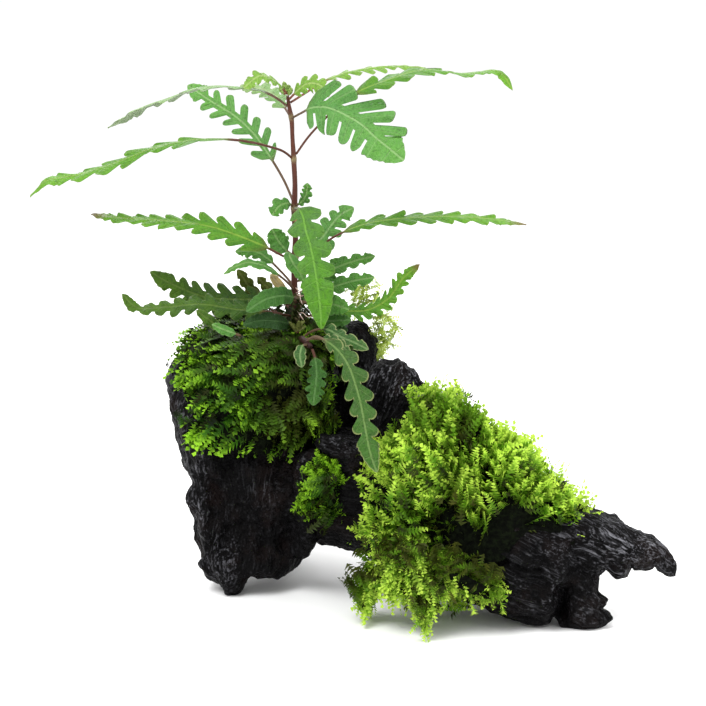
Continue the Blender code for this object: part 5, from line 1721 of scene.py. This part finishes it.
@dataclass
class MossCushion:
    """A moss cushion: a dark tangle inside, and shoots that reach the solid's surface.

    count is the number of fronds. Their tips lie lower by gap between clumps and higher
    by peak at plumes, where clump and plume are the distances of the two patterns, all
    in millimetres. proud is added to every depth, ragged is the reach of the chance in
    it, and shade is the painted shade: how much darker a frond is for each millimetre of
    depth. swirl is the pattern that the fronds lean with, as its share and its cell. The
    tangle lies inset deep, but by no more than the share deepest of the moss's thickness,
    and by the share shallowest of it on the wood. Its near-black colour is partly old
    shoots and partly painted shade.
    """

    node: str
    count: int
    finish: MossFinish
    growth: Growth = Growth()
    core: bool = True
    tone: float = 0.9
    age: float = 0.05
    spots: tuple[Spot, ...] = ()
    gap: float = 2.5
    proud: float = -1.6
    shade: float = 0.11
    peak: float = 3.5
    plume: float = 6.0
    clump: float = 9.0
    inset: float = 5.0
    seed: int = 1
    strands: tuple[tuple[tuple[float, float, float], ...], ...] = ()
    ragged: float = 4.5
    swirl: tuple[float, float] = (0.9, 10.0)
    least_out: float = 0.15
    dip_edges: tuple[float, float] = (-0.15, 0.40)
    plume_edges: tuple[float, float] = (0.30, 0.65)
    tone_spread: float = 0.08
    age_spread: float = 0.12
    skin_cell: float = 1.6
    lump: tuple[float, float] = (1.6, 5.0)
    near_wood: tuple[float, float] = (0.5, 2.5)
    deepest: float = 0.8
    shallowest: float = 0.1
    wood_room: float = 1.0

    def build(self) -> list[bpy.types.Object]:
        """Make the tangle and the shoots in place of the solid."""
        points, triangles = node_surface((self.node,))
        made = [self.shoots(points, triangles)]
        if self.core:
            made.append(self.tangle(points, triangles))
        return made

    def tangle(self, points: Array, triangles: Array) -> bpy.types.Object:
        """A lumpy dark skin that lies well inside the solid."""
        points, triangles = remeshed(self.node + "_skin", points, triangles, self.skin_cell)
        points = relaxed(points, triangles, 4)
        height, cell = self.lump
        lumps = Lattice(self.seed + 50).at(points, cell)
        normals = point_normals(points, triangles)
        room = Obstacle.of(points, triangles).thickness(points, normals)
        covered = eased(*self.near_wood, WOOD.distances(points))
        depth = np.minimum(self.inset + height * lumps + self.sunk(points),
                           self.deepest * room)
        depth = depth * covered + self.shallowest * room * (1 - covered)
        points = points - normals * depth[:, None]
        points = inside_box(relaxed(points, triangles, 3))
        made = add_mesh(self.node + "_tangle", points, triangles)
        made.data.materials.append(MatFinish(self.node + "_tangle").material())
        return fitted(made, self.finish.slot)

    def scattered(self, points: Array, triangles: Array) -> tuple[Array, Array]:
        """Random places on the solid's outer side, clear of the wood.

        Args:
            points: the solid's points.
            triangles: the solid's triangles.

        Returns:
            Places and outward directions.
        """
        chance = np.random.default_rng(self.seed)
        normals = point_normals(points, triangles)
        corners = points[triangles]
        area = np.linalg.norm(np.cross(corners[:, 1] - corners[:, 0],
                                       corners[:, 2] - corners[:, 0]), axis=1)
        pick = chance.choice(len(triangles), self.count * 2, p=area / area.sum())
        share = chance.dirichlet((1, 1, 1), len(pick))
        spots = np.einsum("ij,ijk->ik", share, corners[pick])
        facing = unit(np.einsum("ij,ijk->ik", share, normals[triangles[pick]]))
        clear = WOOD.distances(spots) > self.wood_room
        return spots[clear][:self.count], facing[clear][:self.count]

    def shoots(self, points: Array, triangles: Array) -> bpy.types.Object:
        """Fronds whose tips end near the solid's surface, with painted shade where deeper."""
        chance = np.random.default_rng(self.seed + 100)
        tips, facing = self.scattered(points, triangles)
        count, growth = len(tips), self.growth
        clumps = Lattice(self.seed + 200).at(tips, self.clump)
        dip = eased(*self.dip_edges, -clumps)
        plume = eased(*self.plume_edges, Lattice(self.seed + 220).at(tips, self.plume))
        depth = (self.gap * dip - self.peak * plume * (1 - dip) + self.proud
                 + self.ragged * chance.random(count) ** 1.3)
        sunk = depth + self.sunk(tips)
        lean, (strength, cell) = Lattice(self.seed + 210), self.swirl
        swirl = np.column_stack([lean.at(tips + 40.0 * axis, cell) for axis in range(3)])
        ahead = unit(growth.out * facing + np.array(growth.pull) + strength * swirl
                     + growth.spread * chance.normal(size=(count, 3)))
        outness = np.einsum("ij,ij->i", ahead, facing)
        ahead = unit(ahead + np.maximum(self.least_out - outness, 0)[:, None] * facing)
        lengths = chance.uniform(*growth.length, count)
        ends = tips - facing * sunk[:, None]
        roots = ends - (ahead + np.array(growth.bend)) * lengths[:, None]
        # Painted shade: a frond is darker by shade for each millimetre of its depth.
        tones = self.tone + chance.normal(0, self.tone_spread, count) - self.shade * depth
        ages = self.age + self.age_spread * np.abs(chance.normal(size=count))
        tones, ages = self.spotted(tips, tones, ages)
        kept = chance.random(count) > self.bared(tips)
        fronds = Fronds(roots[kept], ahead[kept], facing[kept], lengths[kept], tones[kept],
                        ages[kept], growth, self.seed + 300)
        parts = [fronds.surface()]
        parts += [self.strand(rows, index) for index, rows in enumerate(self.strands)]
        spots, corners, marks = merged(parts)
        made = add_mesh(self.node + "_shoots", inside_box(spots), corners, marks)
        made.data.materials.append(self.finish.material())
        return fitted(made, self.finish.slot, self.node)

    def bared(self, places: Array) -> Array:
        """The chance that no frond grows at each place."""
        return sum((spot.bare * spot.share(places) for spot in self.spots),
                   np.zeros(len(places)))

    def sunk(self, places: Array) -> Array:
        """How much lower the moss lies at each place."""
        return sum((spot.sink * spot.share(places) for spot in self.spots),
                   np.zeros(len(places)))

    def spotted(self, places: Array, tones: Array, ages: Array) -> tuple[Array, Array]:
        """Tones and ages with each spot's change, which fades with distance."""
        for spot in self.spots:
            share = spot.share(places)
            tones = tones + spot.tone * share
            ages = ages + spot.age * share
        return np.clip(tones, 0.02, 1.15), np.clip(ages, 0.0, 0.9)

    def strand(self, rows: tuple, index: int) -> tuple[Array, Array, dict[str, Array]]:
        """One long shoot that hangs along a path, as fronds end to end."""
        path = smooth_rows(placed(rows), 6)
        steps = np.diff(path, axis=0)
        lengths = np.linalg.norm(steps, axis=1)
        count = len(steps)
        growth = Growth(leaflet=self.growth.leaflet, stations=4, bend=(0.0, 0.0, 0.0))
        fronds = Fronds(path[:-1], unit(steps), np.tile((0.0, -1.0, 0.0), (count, 1)),
                        lengths * 1.15, np.full(count, self.tone + 0.1),
                        np.full(count, self.age), growth, self.seed + 400 + index)
        points, triangles, marks = fronds.surface()
        return points, triangles, {**marks, "tip": np.clip(marks["tip"] + 0.35, 0, 1)}


@dataclass
class Obstacle:
    """A surface that is measured from points around it."""

    tree: BVHTree

    @classmethod
    def of(cls, points: Array, triangles: Array) -> "Obstacle":
        """The obstacle that a surface is."""
        return cls(BVHTree.FromPolygons(points.tolist(), triangles.tolist()))

    def distances(self, points: Array) -> Array:
        """How far the surface is from each point."""
        return np.array([self.tree.find_nearest(point)[3] for point in points.tolist()])

    def thickness(self, points: Array, normals: Array) -> Array:
        """How thick the solid under each of its points is, along the normal."""
        starts = (points - 0.05 * normals).tolist()
        hits = [self.tree.ray_cast(Vector(start), -Vector(normal))[3]
                for start, normal in zip(starts, normals.tolist())]
        return np.array([0.0 if hit is None else hit for hit in hits])


WOOD = Obstacle.of(*node_surface(Driftwood.nodes))

DARK_MOSS = MossFinish("moss_dark", "moss_dark", (0.003, 0.008, 0.0015),
                       (0.030, 0.110, 0.005), (0.32, 0.64, 0.030), (0.075, 0.09, 0.012))
BRIGHT_MOSS = MossFinish("moss_bright", "moss_bright", (0.006, 0.018, 0.002),
                         (0.11, 0.29, 0.010), (0.62, 0.90, 0.10), (0.19, 0.20, 0.03))
PALE_MOSS = MossFinish("moss_pale", "moss_bright", (0.14, 0.22, 0.02),
                       (0.40, 0.55, 0.07), (0.70, 0.84, 0.20), (0.5, 0.5, 0.2))

# Spot tones are partly the moss's own colour and partly painted light: a spot that darkens the
# moss where it also sinks it paints shade into the hollow, the three darkest cushion spots
# paint a band of shade under the cushion's top rim, and the bright spot at (-66, 98) on the mat
# paints light on fronds that lie in shade.
MAT_SPOTS = (
    Spot(-54, 68, 16, 0.30, -0.1), Spot(-44, 82, 12, 0.04),
    Spot(-34, 72, 9, -0.34, sink=3.0), Spot(-24, 66, 17, -0.16, 0.40),
    Spot(-50, 46, 10, bare=0.9, slope=5), Spot(-22, 46, 9, bare=0.9, slope=5),
    Spot(-70, 76, 9, 0.15), Spot(-66, 98, 9, 0.3), Spot(-60, 84, 7, -0.15),
    Spot(-45, 96, 12, -0.20, 0.15), Spot(-20, 92, 12, -0.15, 0.15),
    Spot(-80, 98, 6, bare=0.8, slope=6), Spot(-78, 62, 5, bare=0.7, slope=6),
)
CUSHION_SPOTS = (
    Spot(18, 73, 9, -0.80, 0.05, 4.0, slope=4), Spot(33, 76, 9, -0.80, 0.05, 5.0, slope=4),
    Spot(47, 72, 8, -0.70, 0.05, 4.0, slope=4), Spot(24, 56, 8, 0.12),
    Spot(-3, 6, 9, bare=1.0, slope=6), Spot(60, 54, 14, 0.08), Spot(84, 40, 14, 0.16),
    Spot(42, 46, 9, -0.55, 0.1, 3.0), Spot(24, 26, 11, -0.25),
    Spot(50, 18, 12, -0.55, 0.1, 5.0), Spot(66, 66, 9, sink=3.0), Spot(50, 86, 7, sink=1.0),
    Spot(76, 54, 8, sink=2.0), Spot(64, 22, 15, -0.5, sink=12.0, bare=1.0, slope=5),
    Spot(49, 15, 9, -0.5, sink=10.0, bare=0.95, slope=5),
    Spot(77, 21, 8, -0.4, sink=8.0, bare=0.9, slope=4), Spot(88, 18, 6, bare=1.0, slope=5),
    Spot(48, 8, 9, -0.5, sink=10.0, bare=1.0, slope=5),
)
CURTAIN_SPOTS = (
    Spot(50, 12, 12, -0.3, sink=6.0, bare=1.0, slope=6), Spot(22, 8, 8, -0.3),
    Spot(-3, 4, 11, bare=1.0, slope=6),
)
PATCH_STRANDS = (
    ((-1, 58, -24), (0, 48, -27), (1, 38, -28)),
    ((3, 50, -28), (3.4, 40, -30), (2, 30, -30)),
    ((-4, 46, -26), (-3, 36, -28), (-4.6, 28, -28)),
    ((1, 36, -28), (3, 28, -29), (6, 22, -30)),
    ((-6, 38, -26), (-4, 28, -27), (-1, 20, -27)),
)
CURTAIN_STRANDS = (
    ((7, 2, -55), (6, -5, -56), (4.2, -12.5, -57)),
    ((28, -2, -69), (29, -11, -70), (30, -20, -70)),
    ((57, 2, -64), (59, -3, -64), (60.5, -8, -64)),
    ((38, 2, -68), (37, -4, -69), (35, -8, -69)),
    ((45, 2, -68), (47, -3, -69), (48.5, -8, -69)),
)


@dataclass
class MossGarden:
    """The moss on the wood, cushion by cushion."""

    cushions: tuple[MossCushion, ...] = (
        MossCushion("moss_mat_left", 2700, DARK_MOSS,
                    Growth(length=(8.5, 13.5), leaflet=3.1, pull=(-0.55, -0.30, -0.40),
                           bend=(-0.12, -0.05, -0.2), spread=0.35, flat=0.75, widest=0.4),
                    tone=0.68, age=0.05, seed=3, gap=6.5, shade=0.12, clump=6.0, inset=7.5,
                    spots=MAT_SPOTS),
        MossCushion("moss_patch_centre", 430, DARK_MOSS,
                    Growth(length=(8.0, 12.0), leaflet=2.7, pull=(0.1, -0.1, 0.25), flat=0.7,
                           widest=0.35),
                    tone=0.90, age=0.08, seed=5, inset=4.0, gap=3.5, clump=6.0,
                    strands=PATCH_STRANDS),
        MossCushion("moss_cushion_right", 4300, BRIGHT_MOSS,
                    Growth(length=(9.0, 14.0), leaflet=2.7, pull=(0.1, -0.2, 0.45), flat=0.5),
                    tone=1.06, seed=7, gap=6.5, proud=-2.2, shade=0.12, clump=9.0, inset=9.0,
                    spots=CUSHION_SPOTS),
        MossCushion("moss_curtain_right", 1250, BRIGHT_MOSS,
                    Growth(length=(7.5, 12.0), leaflet=2.4, pull=(0.0, -0.25, -0.85),
                           bend=(0, 0, -0.12), spread=0.4, flat=0.5),
                    tone=1.05, age=0.12, seed=9, inset=4.0, gap=4.0, clump=8.0, shade=0.11,
                    spots=CURTAIN_SPOTS, strands=CURTAIN_STRANDS),
        MossCushion("moss_tuft_back", 250, PALE_MOSS,
                    Growth(length=(6.0, 10.0), pull=(0.35, 0.0, 0.2), leaflet=1.6, spread=0.9,
                           flat=0.2),
                    False, tone=1.0, seed=13, gap=2.0, shade=0.06,
                    spots=(Spot(4, 112, 13, bare=0.8, slope=4),)),
    )

    def build(self) -> list[bpy.types.Object]:
        """Make every cushion."""
        return [piece for cushion in self.cushions for piece in cushion.build()]


# Studio

@dataclass
class Studio:
    """A pale floor, soft light and the camera at the photograph's viewing angle."""

    floor_side: float = 14000.0
    target: tuple[float, float, float] = (0.3, 11.0, 96.0)
    pixel_reach: float = 2000.0
    air: tuple[float, float] = (0.45, 1.42)
    horizon: tuple[float, float, float, float] = (0.09, 0.15, 1.0, 0.0)

    def build(self) -> None:
        """Lay the floor, hang the lights and stand the camera."""
        self.lay_floor()
        self.light("key_light", (-350, -500, 900), 500, 9.0)
        self.light("side_light", (700, -250, 500), 450, 3.5)
        self.light("back_light", (-100, 700, 600), 600, 4.0)
        world = bpy.data.worlds.new("studio_air")
        world.use_nodes = True
        self.brighten(world.node_tree)
        bpy.context.scene.world = world
        bpy.context.scene.view_settings.view_transform = "Standard"
        self.stand_camera()

    def brighten(self, tree: bpy.types.NodeTree) -> None:
        """White air that is bright in a band at the horizon and straight above."""
        place = tree.nodes.new("ShaderNodeTexCoord").outputs["Generated"]
        height = tree.nodes.new("ShaderNodeSeparateXYZ")
        tree.links.new(place, height.inputs[0])
        level, horizon, most = (tree.nodes.new(kind) for kind in (
            "ShaderNodeMapRange", "ShaderNodeMapRange", "ShaderNodeMath"))
        for spread, values in ((level, (0.0, 1.0, *self.air)), (horizon, self.horizon)):
            tree.links.new(height.outputs["Z"], spread.inputs["Value"])
            for key, value in zip(("From Min", "From Max", "To Min", "To Max"), values):
                spread.inputs[key].default_value = value
            tree.links.new(spread.outputs["Result"], most.inputs[int(spread is horizon)])
        most.operation = "MAXIMUM"
        air = tree.nodes["Background"]
        air.inputs["Color"].default_value = (1, 1, 1, 1)
        tree.links.new(most.outputs[0], air.inputs["Strength"])

    def lay_floor(self) -> None:
        """A plain pale floor under the wood."""
        half = self.floor_side / 2
        corners = np.array([(-half, -half, 0), (half, -half, 0), (half, half, 0),
                            (-half, half, 0)], float)
        floor = add_mesh("floor", corners, np.array([(0, 1, 2), (0, 2, 3)]))
        finish = PlainFinish("floor_paint", (0.93, 0.93, 0.93), (0.95, 0.95, 0.95), 0.9, 0.01)
        floor.data.materials.append(finish.material())

    def light(self, name: str, place: tuple, size: float, power: float) -> None:
        """A square soft light that faces the plant."""
        lamp = bpy.data.lights.new(name, "AREA")
        lamp.size, lamp.energy = size * MM, power
        made = bpy.data.objects.new(name, lamp)
        made.location = Vector(place) * MM
        aim = Vector(self.target) * MM - made.location
        made.rotation_euler = aim.to_track_quat("-Z", "Y").to_euler()
        bpy.context.scene.collection.objects.link(made)

    def stand_camera(self) -> None:
        """The camera that the places seen from the front are written for."""
        lens = bpy.data.cameras.new("front_camera")
        lens.sensor_width = SENSOR_WIDTH
        lens.lens = SENSOR_WIDTH * self.pixel_reach / FRAME_PIXELS
        lens.clip_start = 10 * MM
        camera = bpy.data.objects.new("front_camera", lens)
        back = Vector((0.0, -math.cos(VIEW_RISE), math.sin(VIEW_RISE)))
        camera.location = (Vector(self.target) + back * VIEW_DISTANCE) * MM
        camera.rotation_euler = (math.pi / 2 - VIEW_RISE, 0.0, 0.0)
        bpy.context.scene.collection.objects.link(camera)
        bpy.context.scene.camera = camera


def report(piece: bpy.types.Object) -> None:
    """Log a piece's name and size."""
    LOG.info("%s has %d triangles", piece.name, len(piece.data.polygons))


def main() -> None:
    """Build and dress every piece, and log each piece's size."""
    logging.basicConfig(level=logging.INFO, format="%(name)s: %(message)s")
    Studio().build()
    for part in (Driftwood(), *STEMS, Rootlets()):
        made = part.build()
        part.dress(made)
        report(made)
    for group in (Foliage(), MossGarden()):
        for piece in group.build():
            report(piece)


if __name__ == "__main__":
    main()
